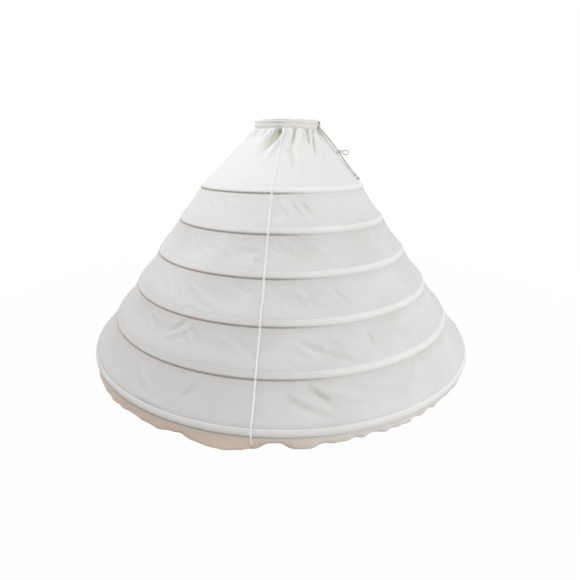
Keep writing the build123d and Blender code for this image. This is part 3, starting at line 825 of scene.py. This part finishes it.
# Waistband
BAND_COLUMNS = 640
BAND_CHANNEL_LOW = WAIST_Z + BAND_SEAM + LAYER_GAP + CLOTH
BAND_MIDDLE = (BAND_CHANNEL_LOW + BAND_TOP_Z) / 2
BAND_PITCH = (BAND_TOP_Z - BAND_CHANNEL_LOW) / 2
BAND_FOOT = WAIST_Z + 0.0022
BAND_FOLD = BAND_CHANNEL_LOW - 0.0006
CORD_Z = BAND_CHANNEL_LOW + BAND_PITCH * 1.5
BAND_BULGE = 0.0027
BAND_EDGE = 0.0004
CHANNEL_POINTS = 9
BAND_INNER_POINTS = 6
RUCHE_DEPTH = 0.0005
RUCHE_LENGTH = 0.0062
RUCHE_FADE_ANGLE = 6.0
# Its waves: share, count against the ruches' number, and how far and how often each wanders
RUCHE_WAVES = ((0.6, 1.0, 2.0, 7), (0.4, 1.37, 1.5, 11))
# A further wave that sets the two channels apart: share, count against the ruches' number, and phase
CHANNEL_WAVE = (0.5, 0.8, 1.3)
# Waves of the smooth part, as (share, count, phase)
SMOOTH_WAVES = ((0.175, 23, 1.0), (0.125, 41, 0.0))
RUCHE_VALLEY = 0.0015
BAND_SAG = 0.0025
BAND_SWAY = 0.0009
SPLIT_HALF_ANGLE = math.degrees(math.asin(BAND_SPLIT / 2 / CORD_RING_RADIUS))


def band_section():
    """The band's outline, as (radius, height, how far ruching moves it), round its two channels."""
    section = [(BAND_OUTER_RADIUS, WAIST_Z, 0.6)]
    section.append((BAND_OUTER_RADIUS + 0.0006, BAND_FOOT, 0.8))
    section.append((BAND_OUTER_RADIUS + 0.0002, BAND_FOLD, 0.3))
    for low in (BAND_CHANNEL_LOW, BAND_MIDDLE):
        for share in np.linspace(0, 1, CHANNEL_POINTS):
            bulge = BAND_BULGE * (1 - (2 * share - 1) ** 2) ** 0.75
            move = 0.25 + 0.9 * math.sin(math.pi * share)
            height = low + BAND_EDGE + share * (BAND_PITCH - 2 * BAND_EDGE)
            section.append((BAND_OUTER_RADIUS + bulge, height, move))
    section.append((BAND_OUTER_RADIUS - 0.0008, BAND_TOP_Z, 0.2))
    for share in (0.0, 0.25, 0.5, 0.75, 1.0):
        height = BAND_TOP_Z - BAND_EDGE - share * (BAND_HEIGHT - 2 * BAND_EDGE)
        section.append((WAIST_RADIUS, height, 0.0))
    section.append((WAIST_RADIUS + 0.0006, WAIST_Z, 0.0))
    return np.array(section)


def build_waistband(material, tunnel_mouth_shade, thread):
    """The folded band, ruched where the elastic draws it in and smooth beside the split."""
    start = BAND_SPLIT_AZIMUTH + SPLIT_HALF_ANGLE
    sweep = 360.0 - 2 * SPLIT_HALF_ANGLE
    azimuth = np.linspace(start, start + sweep, BAND_COLUMNS)
    section = band_section()
    from_split = np.abs((azimuth - BAND_SPLIT_AZIMUTH + 180.0) % 360.0 - 180.0)
    ruched = smooth_step((from_split - ELASTIC_FREE_ANGLE / 2 + RUCHE_FADE_ANGLE) / (2 * RUCHE_FADE_ANGLE))
    a = np.radians(azimuth)
    count = round(2 * math.pi * WAIST_RADIUS / RUCHE_LENGTH)
    wave = 0.0
    for share, part, reach, often in RUCHE_WAVES:
        wave = wave + share * np.cos(round(count * part) * a + reach * np.sin(often * a))
    smooth = sum(share * np.cos(number * a + phase) for share, number, phase in SMOOTH_WAVES)
    x, y = ray(azimuth)
    r = section[:, 0:1]
    z = section[:, 1:2]
    move = section[:, 2:3]
    upper = np.where(z > BAND_MIDDLE, 1.0, -1.0)
    share, part, phase = CHANNEL_WAVE
    apart = share * np.cos(round(count * part) * a + upper * phase)
    out = RUCHE_DEPTH * move * (ruched * (wave + apart) + (1 - ruched) * smooth)
    sway = BAND_SWAY * (np.sin(3 * a + 0.5) + 2 / 3 * np.sin(8 * a) - 1)
    lift = np.where(z > BAND_MIDDLE, 1.0, 0.3) * np.clip(sway, None, 0)
    lift = lift - BAND_SAG * np.clip(-y, 0, None) ** 2
    points = np.stack([(r + out) * x + WAIST_OFFSET, (r + out) * y, z + lift + 0 * x], axis=-1)
    rows, columns = points.shape[:2]
    faces = []
    for i in range(rows):
        for c in range(columns - 1):
            p = i * columns + c
            q = ((i + 1) % rows) * columns + c
            faces.append((p, p + 1, q + 1, q))
    faces.append(tuple(i * columns for i in range(rows)))
    faces.append(tuple(i * columns + columns - 1 for i in reversed(range(rows))))
    attributes = [
        ("cloth", np.stack([a * WAIST_RADIUS + 0 * r, z + 0 * x, 0 * x + 0 * r], axis=-1)),
        ("ruched", (ruched[None, :] + 0 * r)[..., None]),
        ("valley", np.clip(-out / RUCHE_VALLEY, 0, 1)[..., None]),
    ]
    mesh = mesh_from("waistband", points, faces, attributes)
    cleaned = bmesh.new()
    cleaned.from_mesh(mesh)
    bmesh.ops.recalc_face_normals(cleaned, faces=cleaned.faces)
    cleaned.to_mesh(mesh)
    cleaned.free()
    obj = new_piece("waistband_cloth", mesh, material)
    # The band's two cut ends get a near-black painted shadow for the shade inside its channels
    mesh.materials.append(tunnel_mouth_shade)
    for cut_end in mesh.polygons[-2:]:
        cut_end.material_index = 1
    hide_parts("waistband")
    normals = np.stack([x, y, 0 * x], axis=-1)
    lines = []
    outer_side = section[: len(section) - BAND_INNER_POINTS, 1]
    for height in (BAND_FOOT, BAND_FOLD, BAND_MIDDLE):
        row = int(np.argmin(np.abs(outer_side - height)))
        lines.append((points[row] + normals * 0.0001, normals))
    stitch_rows("waistband_stitches", lines, thread)


# Materials
WHITE = (0.765, 0.772, 0.775)
SHADED_WHITE = (0.712, 0.706, 0.694)
# Painted shade: the lower tiers turn darker towards the left
PAINTED_SHADE_GREY = (0.67, 0.668, 0.662)
YOKE_WHITE = (0.85, 0.86, 0.855)
# Painted shade in the valleys of the folds and ruches
FOLD_PAINTED_SHADE = (0.56, 0.55, 0.45)
# Painted shade under the hoops: red-brown at the left, turning olive-brown towards the middle
GROOVE_SHADE_RED = (0.40, 0.24, 0.22)
GROOVE_SHADE_OLIVE = (0.30, 0.25, 0.19)
BAND_WHITE = (0.95, 0.955, 0.95)
# Painted shade: the frill is beige on the left and pale on the right
FRILL_PAINTED_SHADE_BEIGE = (0.785, 0.65, 0.555)
FRILL_PALE = (0.90, 0.88, 0.83)
CREAM = (0.90, 0.885, 0.83)
CORD_DARK = (0.62, 0.60, 0.54)
CORD_PALE = (0.82, 0.81, 0.76)
FLOOR_COLOUR = (0.64, 0.60, 0.57)
FULL_WHITE = (1.0, 1.0, 1.0)

WEAVE_PITCH = 0.0006
# The scale at which a wave texture has one band in each metre, and the range of most of a noise's values
WAVE_PER_METRE = 0.314
NOISE_SPAN = (0.3, 0.7)
# Where the tiers' painted shade begins and ends towards the left, and where the grooves' painted shade
# turns from red to olive
PAINTED_SHADE_X = (0.10, -0.15)
OLIVE_X = (-0.42, -0.12)
# How much of the valleys' painted shade the tiers and the yoke take
VALLEY_SHADE_SHARES = (0.25, 0.9)
# How strongly the painted shade colours the groove under each hoop
GROOVE_SHADE_STRENGTH = 0.8


class Graph:
    """The nodes of a material or of the world."""

    def __init__(self, tree):
        self.nodes = tree.nodes
        self.links = tree.links

    def new(self, kind, **settings):
        node = self.nodes.new(f"ShaderNode{kind}")
        for name, value in settings.items():
            setattr(node, name, value)
        return node

    def give(self, socket, value):
        """Gives a socket another socket's value, a colour or a number."""
        if isinstance(value, bpy.types.NodeSocket):
            self.links.new(value, socket)
        elif isinstance(value, tuple):
            socket.default_value = (*value, 1)
        else:
            socket.default_value = value

    def fill(self, node, values):
        """Gives a node its inputs by their names."""
        for name, value in values.items():
            self.give(node.inputs[name], value)
        return node

    def attribute(self, name, output="Fac"):
        return self.new("Attribute", attribute_name=name).outputs[output]

    def position(self):
        return self.new("NewGeometry").outputs["Position"]

    def blend(self, factor, first, second):
        mix = self.new("Mix", data_type="RGBA")
        return self.fill(mix, {"Factor": factor, "A": first, "B": second}).outputs["Result"]

    def remap(self, value, low, high, to_low=0.0, to_high=1.0):
        values = {"Value": value, "From Min": low, "From Max": high, "To Min": to_low, "To Max": to_high}
        return self.fill(self.new("MapRange"), values).outputs["Result"]

    def math(self, operation, first, second):
        node = self.new("Math", operation=operation)
        self.give(node.inputs[0], first)
        self.give(node.inputs[1], second)
        return node.outputs[0]

    def noise(self, vector, scale, detail):
        values = {"Vector": vector, "Scale": scale, "Detail": detail}
        return self.fill(self.new("TexNoise"), values).outputs["Fac"]

    def weave(self, vector, pitch):
        """Plain weave: threads one way and the other, as a height from 0 to 2."""
        values = {"Vector": vector, "Scale": WAVE_PER_METRE / pitch, "Distortion": 0.6, "Detail": 1.0}
        threads = [self.fill(self.new("TexWave", bands_direction=way), values) for way in ("X", "Y")]
        return self.math("ADD", *[wave.outputs["Fac"] for wave in threads])

    def bump(self, height, distance, strength, **normal):
        values = {"Height": height, "Distance": distance, "Strength": strength, **normal}
        return self.fill(self.new("Bump"), values).outputs["Normal"]


def new_material(name, colour, roughness):
    material = bpy.data.materials.new(name)
    material.use_nodes = True
    graph = Graph(material.node_tree)
    shader = graph.fill(graph.nodes["Principled BSDF"], {"Base Color": colour, "Roughness": roughness})
    return material, graph, shader


def woven_normal(graph, cloth, scale, detail, distance, strength):
    """The surface of fine cloth: soft unevenness with a plain weave over it."""
    uneven = graph.bump(graph.noise(cloth, scale, detail), distance, strength)
    return graph.bump(graph.weave(cloth, WEAVE_PITCH), 0.0001, 0.35, Normal=uneven)


def skirt_material():
    """Thin white polyester, whiter towards the waist, with painted shade: darker on the lower left of the
    tiers, beige in the frill on the left, shaded in fold valleys and under each hoop. The channels are
    whiter, with painted highlights along their raised lines.
    """
    material, graph, shader = new_material("skirt_polyester", WHITE, 0.62)
    cloth = graph.attribute("cloth", "Vector")
    place = graph.fill(graph.new("SeparateXYZ"), {"Vector": graph.position()}).outputs
    cloudy = graph.remap(graph.noise(cloth, 9.0, 3.0), *NOISE_SPAN)
    colour = graph.blend(cloudy, SHADED_WHITE, WHITE)
    # Painted shade: the lower tiers turn darker towards the left
    low = graph.remap(place["Z"], HOOP_POINTS[2][1], HOOP_POINTS[4][1])
    painted_left_shade = graph.math("MULTIPLY", low, graph.remap(place["X"], *PAINTED_SHADE_X))
    colour = graph.blend(painted_left_shade, colour, PAINTED_SHADE_GREY)
    yoke = graph.remap(place["Z"], HOOP_POINTS[1][1], HOOP_POINTS[0][1] + 0.02)
    colour = graph.blend(yoke, colour, YOKE_WHITE)
    # Painted shade: the frill turns beige on the left and stays pale on the right
    frill = graph.remap(place["Z"], FRILL_TOP[1] + 0.002, FRILL_TOP[1] - 0.006)
    colour = graph.blend(frill, colour, graph.blend(graph.attribute("right"), FRILL_PAINTED_SHADE_BEIGE, FRILL_PALE))
    # The channels' whiter casing, with painted highlights along the raised lines and painted light on the
    # right
    colour = graph.blend(graph.attribute("band"), colour, BAND_WHITE)
    # Painted shade in the fold valleys, strongest on the yoke
    valley_shade_share = graph.remap(place["Z"], HOOP_POINTS[0][1] - 0.01, HOOP_POINTS[0][1] + 0.03, *VALLEY_SHADE_SHARES)
    sunk = graph.remap(graph.attribute("valley"), 0.12, 1.0)
    colour = graph.blend(graph.math("MULTIPLY", sunk, valley_shade_share), colour, FOLD_PAINTED_SHADE)
    # Painted shade in the groove under each hoop, red-brown on the left and olive towards the middle
    groove = graph.remap(graph.attribute("groove"), 0.0, 1.0, 0.0, GROOVE_SHADE_STRENGTH)
    painted_groove_colour = graph.blend(graph.remap(place["X"], *OLIVE_X), GROOVE_SHADE_RED, GROOVE_SHADE_OLIVE)
    values = {
        "Base Color": graph.blend(groove, colour, painted_groove_colour),
        "Roughness": graph.remap(graph.noise(cloth, 60.0, 2.0), *NOISE_SPAN, 0.55, 0.72),
        "Sheen Weight": 0.12,
        "Sheen Roughness": 0.4,
        "Normal": woven_normal(graph, cloth, 34.0, 4.0, 0.004, 0.28),
    }
    graph.fill(shader, values)
    return material


def tape_material(name, colour, pitch):
    """Woven tape with a ribbed surface."""
    material, graph, shader = new_material(name, colour, 0.7)
    place = graph.new("TexCoord").outputs["Object"]
    tone = graph.remap(graph.noise(place, 45.0, 3.0), *NOISE_SPAN)
    values = {
        "Base Color": graph.blend(tone, tuple(0.95 * c for c in colour), colour),
        "Sheen Weight": 0.15,
        "Normal": graph.bump(graph.weave(place, pitch), 0.0002, 0.4),
    }
    graph.fill(shader, values)
    return material


def band_material():
    """White ruched cloth that turns cream where it lies smooth."""
    material, graph, shader = new_material("waistband_polyester", BAND_WHITE, 0.66)
    cloth = graph.attribute("cloth", "Vector")
    colour = graph.blend(graph.attribute("ruched"), CREAM, BAND_WHITE)
    # Painted shade in the ruches' valleys
    sunk = graph.remap(graph.attribute("valley"), 0.2, 1.0, 0.0, 0.12)
    values = {
        "Base Color": graph.blend(sunk, colour, FOLD_PAINTED_SHADE),
        "Sheen Weight": 0.12,
        "Normal": woven_normal(graph, cloth, 180.0, 3.0, 0.0008, 0.35),
    }
    graph.fill(shader, values)
    return material


def cord_material():
    """Soft braided cord."""
    material, graph, shader = new_material("drawstring_braid", CORD_PALE, 0.8)
    place = graph.new("TexCoord").outputs["Object"]
    tone = graph.remap(graph.noise(place, 400.0, 2.0), 0.35, 0.65)
    values = {
        "Base Color": graph.blend(tone, CORD_DARK, CORD_PALE),
        "Sheen Weight": 0.2,
        "Normal": graph.bump(graph.weave(place, 0.0009), 0.0004, 0.7),
    }
    graph.fill(shader, values)
    return material


def steel_material(name, colour, roughness, metallic):
    """A hard strip: a coated hoop or a bare joiner, with faint handling marks."""
    material, graph, shader = new_material(name, colour, roughness)
    marks = graph.noise(graph.new("TexCoord").outputs["Object"], 30.0, 5.0)
    worn = tuple(0.88 * c for c in colour)
    values = {
        "Base Color": graph.blend(graph.remap(marks, 0.35, 0.65), worn, colour),
        "Roughness": graph.remap(marks, *NOISE_SPAN, roughness - 0.08, roughness + 0.08),
        "Metallic": metallic,
    }
    graph.fill(shader, values)
    return material


def set_material(node, material):
    """Gives a CAD node that stays in view its material."""
    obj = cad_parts[node]
    obj.data.materials.clear()
    obj.data.materials.append(material)


# Drawstring: the routes of the solids, as (drop below the waistband, out of the yoke's line, azimuth)
TAIL_LINE_MM = [
    (-8.6, 2.6, 68.0),
    (3.0, 9.4, 67.8),
    (18.0, 12.4, 67.6),
    (36.0, 12.8, 68.4),
    (56.0, 12.0, 70.6),
    (76.0, 10.6, 73.0),
    (93.0, 9.0, 74.8),
]
FRONT_TAIL_END_MM = [(111.0, 7.8, 75.2), (131.0, 8.8, 77.2)]
BACK_TAIL_END_MM = [(109.0, 7.8, 76.6), (126.0, 7.8, 77.0), (142.0, 8.8, 78.4)]
EXIT_RUN = 0.0045
EXIT_ANGLE = 45.0
BOW_AFTER = 4
FRONT_TAIL_LENGTH = 0.2010
BACK_TAIL_LENGTH = 0.2151


def yoke_radius(height):
    share = min(max((WAIST_Z - height) / (WAIST_Z - YOKE_END[1]), 0.0), 1.0)
    return YOKE_TOP_RADIUS + (YOKE_END[0] - YOKE_TOP_RADIUS) * share


def cord_point(radius, azimuth, height, aside=0.0):
    """A point of the drawstring, moved aside at right angles to its azimuth."""
    x, y = ray(azimuth)
    return Vector((radius * x - aside * y + float(lean(height)), radius * y + aside * x, height))


def tail_point(drop, out, azimuth, aside):
    """A point of a tail: drop and out in mm, from the waistband's lower edge and the yoke's line."""
    height = WAIST_Z - drop * MM
    return cord_point(yoke_radius(height) + out * MM, azimuth, height, aside)


def tail_route(side, end):
    exit_azimuth = BAND_SPLIT_AZIMUTH + side * SPLIT_HALF_ANGLE
    turned_z = CORD_Z - EXIT_RUN * math.sin(math.radians(EXIT_ANGLE))
    first = [
        cord_point(CORD_RING_RADIUS, exit_azimuth, CORD_Z),
        cord_point(CORD_RING_RADIUS, exit_azimuth, CORD_Z, -side * EXIT_RUN),
        cord_point(CORD_RING_RADIUS, BAND_SPLIT_AZIMUTH, turned_z, side * CORD_SPREAD),
    ]
    return first + [tail_point(*spot, side * CORD_SPREAD) for spot in TAIL_LINE_MM + end]


def nurbs(name, points, radius, material):
    """A round cord whose middle line is a smooth spline with these control points."""
    curve = bpy.data.curves.new(name, "CURVE")
    curve.dimensions = "3D"
    spline = curve.splines.new("NURBS")
    spline.points.add(len(points) - 1)
    for knot, point in zip(spline.points, points):
        knot.co = (*point, 1.0)
    spline.order_u = 3
    spline.use_endpoint_u = True
    spline.resolution_u = 10
    curve.bevel_depth = radius
    curve.bevel_resolution = 4
    curve.use_fill_caps = True
    return new_piece(name, curve, material)


KNOT_TURN = 0.0030
KNOT_REACH = 0.0075
KNOT_POINTS = 19
KNOT_STUB = 0.003
KNOT_WINDINGS = 2
KNOT_SWAY = 0.16
KNOT_CORD_SHARE = 0.42


def overhand_knot(name, end, heading, material):
    """A small overhand knot at a tail's end, with a short stub beyond it."""
    heading = heading.normalized()
    side = heading.cross(Vector((0, 0, 1))).normalized()
    out = side.cross(heading).normalized()
    points = []
    for t in np.linspace(0, 1, KNOT_POINTS):
        turn = 2 * math.pi * KNOT_WINDINGS * t
        swell = math.sin(math.pi * t) ** 0.5
        forward = KNOT_REACH * (t - KNOT_SWAY * math.sin(2 * turn) * swell)
        ring = (side * math.cos(turn) + out * math.sin(turn)) * KNOT_TURN * swell
        points.append(end + heading * forward + ring)
    points.append(end + heading * (KNOT_REACH + KNOT_STUB))
    return nurbs(name, points, CORD_DIAMETER * KNOT_CORD_SHARE, material)


LOOP_REACH = 0.029
LOOP_SPAN = 0.011
LOOP_RISE_ANGLE = -12.0
LOOP_CORD = 0.003
WRAP_TURNS = 2.5
WRAP_STEPS = 30
WRAP_LENGTH = 0.0056


def build_bow(material):
    """The tie round both tails: a few turns of cord, and one small loop that stands out."""
    first, second = [tail_point(*spot, 0.0) for spot in TAIL_LINE_MM[BOW_AFTER : BOW_AFTER + 2]]
    middle = (first + second) / 2
    azimuth = (TAIL_LINE_MM[BOW_AFTER][2] + TAIL_LINE_MM[BOW_AFTER + 1][2]) / 2
    x, y = ray(azimuth)
    across = Vector((-y, x, 0.0))
    along = (second - first).normalized()
    normal = across.cross(along).normalized()
    if normal.dot(Vector((x, y, 0.0))) < 0:
        normal = -normal
    thick = LOOP_CORD / 2
    wide = CORD_SPREAD + CORD_DIAMETER / 2 + thick
    high = CORD_DIAMETER / 2 + thick
    turns = []
    for share in np.linspace(0, 1, WRAP_STEPS + 1):
        turn = 2 * math.pi * WRAP_TURNS * share + math.pi / 2
        ring = across * wide * math.cos(turn) + normal * high * math.sin(turn)
        turns.append(middle + ring + along * WRAP_LENGTH * (share - 0.5))
    nurbs("bow_wrap", turns, thick, material)
    rise = math.radians(LOOP_RISE_ANGLE)
    outward = Vector((x * math.cos(rise), y * math.cos(rise), math.sin(rise)))
    root = middle + normal * high
    leg = thick + LAYER_GAP / 2
    upper = [(0.0, leg), (0.25, leg), (0.55, LOOP_SPAN / 2), (0.85, LOOP_SPAN * 0.6)]
    lower = [(reach, -aside) for reach, aside in reversed(upper)]
    upright = across.cross(outward)
    corners = upper + [(1.0, 0.0)] + lower
    points = [root + outward * LOOP_REACH * reach + upright * aside for reach, aside in corners]
    loop = nurbs("bow_loop", points, thick, material)
    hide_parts("drawstring_bow")


# Build
CREASES = random_creases()
CLOTH_ROUND = cloth_grid(np.linspace(-180, 180, 721))[0]

skirt = skirt_material()
band = band_material()
tape = tape_material("seam_tape_twill", (0.96, 0.96, 0.955), 0.0011)
casing = tape_material("casing_twill", (0.84, 0.84, 0.83), 0.0014)
elastic = tape_material("woven_elastic", (0.82, 0.82, 0.81), 0.0012)
thread = tape_material("sewing_thread", (0.88, 0.88, 0.88), 0.0007)
shadow = new_material("tunnel_shadow", (0.05, 0.05, 0.045), 0.9)[0]
cord = cord_material()
steel = steel_material("coated_steel_strip", (0.86, 0.86, 0.86), 0.32, 0.0)
joiner = steel_material("crimped_joiner", (0.58, 0.58, 0.58), 0.3, 1.0)

GORE_NAMES = ("front_right", "back_right", "back_left", "front_left")
SEAM_NAMES = ("front", "right", "back", "left")
for index, (gore, seam) in enumerate(zip(GORE_NAMES, SEAM_NAMES)):
    build_gore(index, f"gore_{gore}", skirt)
    build_seam_tape(index, f"seam_tape_{seam}", tape, thread)
build_stitching(thread)
build_waistband(band, shadow, thread)
for index in range(1, HOOP_COUNT + 1):
    set_material(f"hoop_{index}", steel)
    set_material(f"hoop_joiner_{index}", joiner)
    set_material(f"hoop_casing_{index}", casing)
set_material("waist_elastic", elastic)
set_material("drawstring", cord)

for label, side, end, length in (
    ("front", -1, FRONT_TAIL_END_MM, FRONT_TAIL_LENGTH),
    ("back", 1, BACK_TAIL_END_MM, BACK_TAIL_LENGTH),
):
    route = tail_route(side, end)
    tail = nurbs(f"tail_{label}", route, CORD_DIAMETER / 2, cord)
    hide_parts(f"drawstring_tail_{label}")
    knot = overhand_knot(f"knot_{label}", route[-1], route[-1] - route[-2], cord)
    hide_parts(f"drawstring_knot_{label}")
build_bow(cord)

# Camera, floor and light
IMAGE = 580.0
FOCAL_PIXELS = 393.5
CENTRE_PIXELS = (281.3, 272.9)
CAMERA_DISTANCE = 1.3
CAMERA_HEIGHT = 0.616
CAMERA_PITCH = 16.92
CAMERA_ROLL = 0.33
SENSOR = 36.0

camera = new_object("camera", bpy.data.cameras.new("camera"))
place = Matrix.Translation((0.0, -CAMERA_DISTANCE, CAMERA_HEIGHT))
pitched = Matrix.Rotation(math.radians(90.0 - CAMERA_PITCH), 4, "X")
camera.matrix_world = place @ pitched @ Matrix.Rotation(math.radians(CAMERA_ROLL), 4, "Z")
camera.data.sensor_width = SENSOR
camera.data.lens = SENSOR * FOCAL_PIXELS / IMAGE
camera.data.shift_x = (IMAGE / 2 - CENTRE_PIXELS[0]) / IMAGE
camera.data.shift_y = (CENTRE_PIXELS[1] - IMAGE / 2) / IMAGE
bpy.context.scene.camera = camera


WORLD_STRENGTH = 0.33
SEEN_STRENGTH = 1.0
FLOOR_SIZE = 14.0
FLOOR_Z = -0.001
FLOOR_WHITE_SHARE = 0.975
FLOOR_FADE = (0.9, 1.7)

# Round area lamps: name, place, the point it is turned to, diameter and watts
LAMPS = (
    ("top", (-0.3, -0.3, 3.2), (0.0, 0.0, 0.3), 1.4, 36.0),
    ("left_side", (-2.3, 0.2, 2.1), (-0.2, 0.0, 0.3), 1.2, 24.0),
    ("right_side", (2.2, -0.5, 0.6), (0.3, 0.0, 0.3), 1.4, 13.0),
    ("front", (0.9, -2.6, 0.5), (0.0, 0.0, 0.35), 1.6, 16.0),
)


def white_light(graph, node, strength):
    """Turns a background or an emission plain white."""
    return graph.fill(node, {"Color": FULL_WHITE, "Strength": strength}).outputs[0]


def seen_white(graph, lit, seen, share):
    """Mixes what lights the object with what the camera and mirrors see. Share is a number or a socket."""
    path = graph.new("LightPath").outputs
    seen_by = path["Is Camera Ray"]
    for name in ("Is Glossy Ray", "Is Transmission Ray"):
        seen_by = graph.math("MAXIMUM", seen_by, path[name])
    mix = graph.new("MixShader")
    for socket, value in zip(mix.inputs, (graph.math("MULTIPLY", seen_by, share), lit, seen)):
        graph.give(socket, value)
    return mix.outputs[0]


world = bpy.data.worlds.new("studio")
bpy.context.scene.world = world
world.use_nodes = True
graph = Graph(world.node_tree)
ambient = white_light(graph, graph.nodes["Background"], WORLD_STRENGTH)
backdrop = white_light(graph, graph.new("Background"), SEEN_STRENGTH)
graph.fill(graph.nodes["World Output"], {"Surface": seen_white(graph, ambient, backdrop, 1.0)})

floor_mesh = bpy.data.meshes.new("floor")
half = FLOOR_SIZE / 2
corners = [(-half, -half, 0), (half, -half, 0), (half, half, 0), (-half, half, 0)]
floor_mesh.from_pydata(corners, [], [(0, 1, 2, 3)])
floor = new_object("floor", floor_mesh)
floor.location.z = FLOOR_Z
floor_material, graph, shader = new_material("pale_floor", FLOOR_COLOUR, 0.9)
reach = graph.new("VectorMath", operation="LENGTH")
graph.give(reach.inputs[0], graph.position())
white_share = graph.remap(reach.outputs["Value"], *FLOOR_FADE, FLOOR_WHITE_SHARE, 1.0)
glow = white_light(graph, graph.new("Emission"), SEEN_STRENGTH)
surface = seen_white(graph, shader.outputs[0], glow, white_share)
graph.fill(graph.nodes["Material Output"], {"Surface": surface})
floor_mesh.materials.append(floor_material)

for name, location, target, size, power in LAMPS:
    data = bpy.data.lights.new(name, "AREA")
    data.shape = "DISK"
    data.size = size
    data.energy = power
    lamp = new_object(name, data)
    lamp.location = location
    way = Vector(target) - Vector(location)
    lamp.rotation_euler = way.to_track_quat("-Z", "Y").to_euler()

bpy.context.scene.view_settings.view_transform = "Standard"
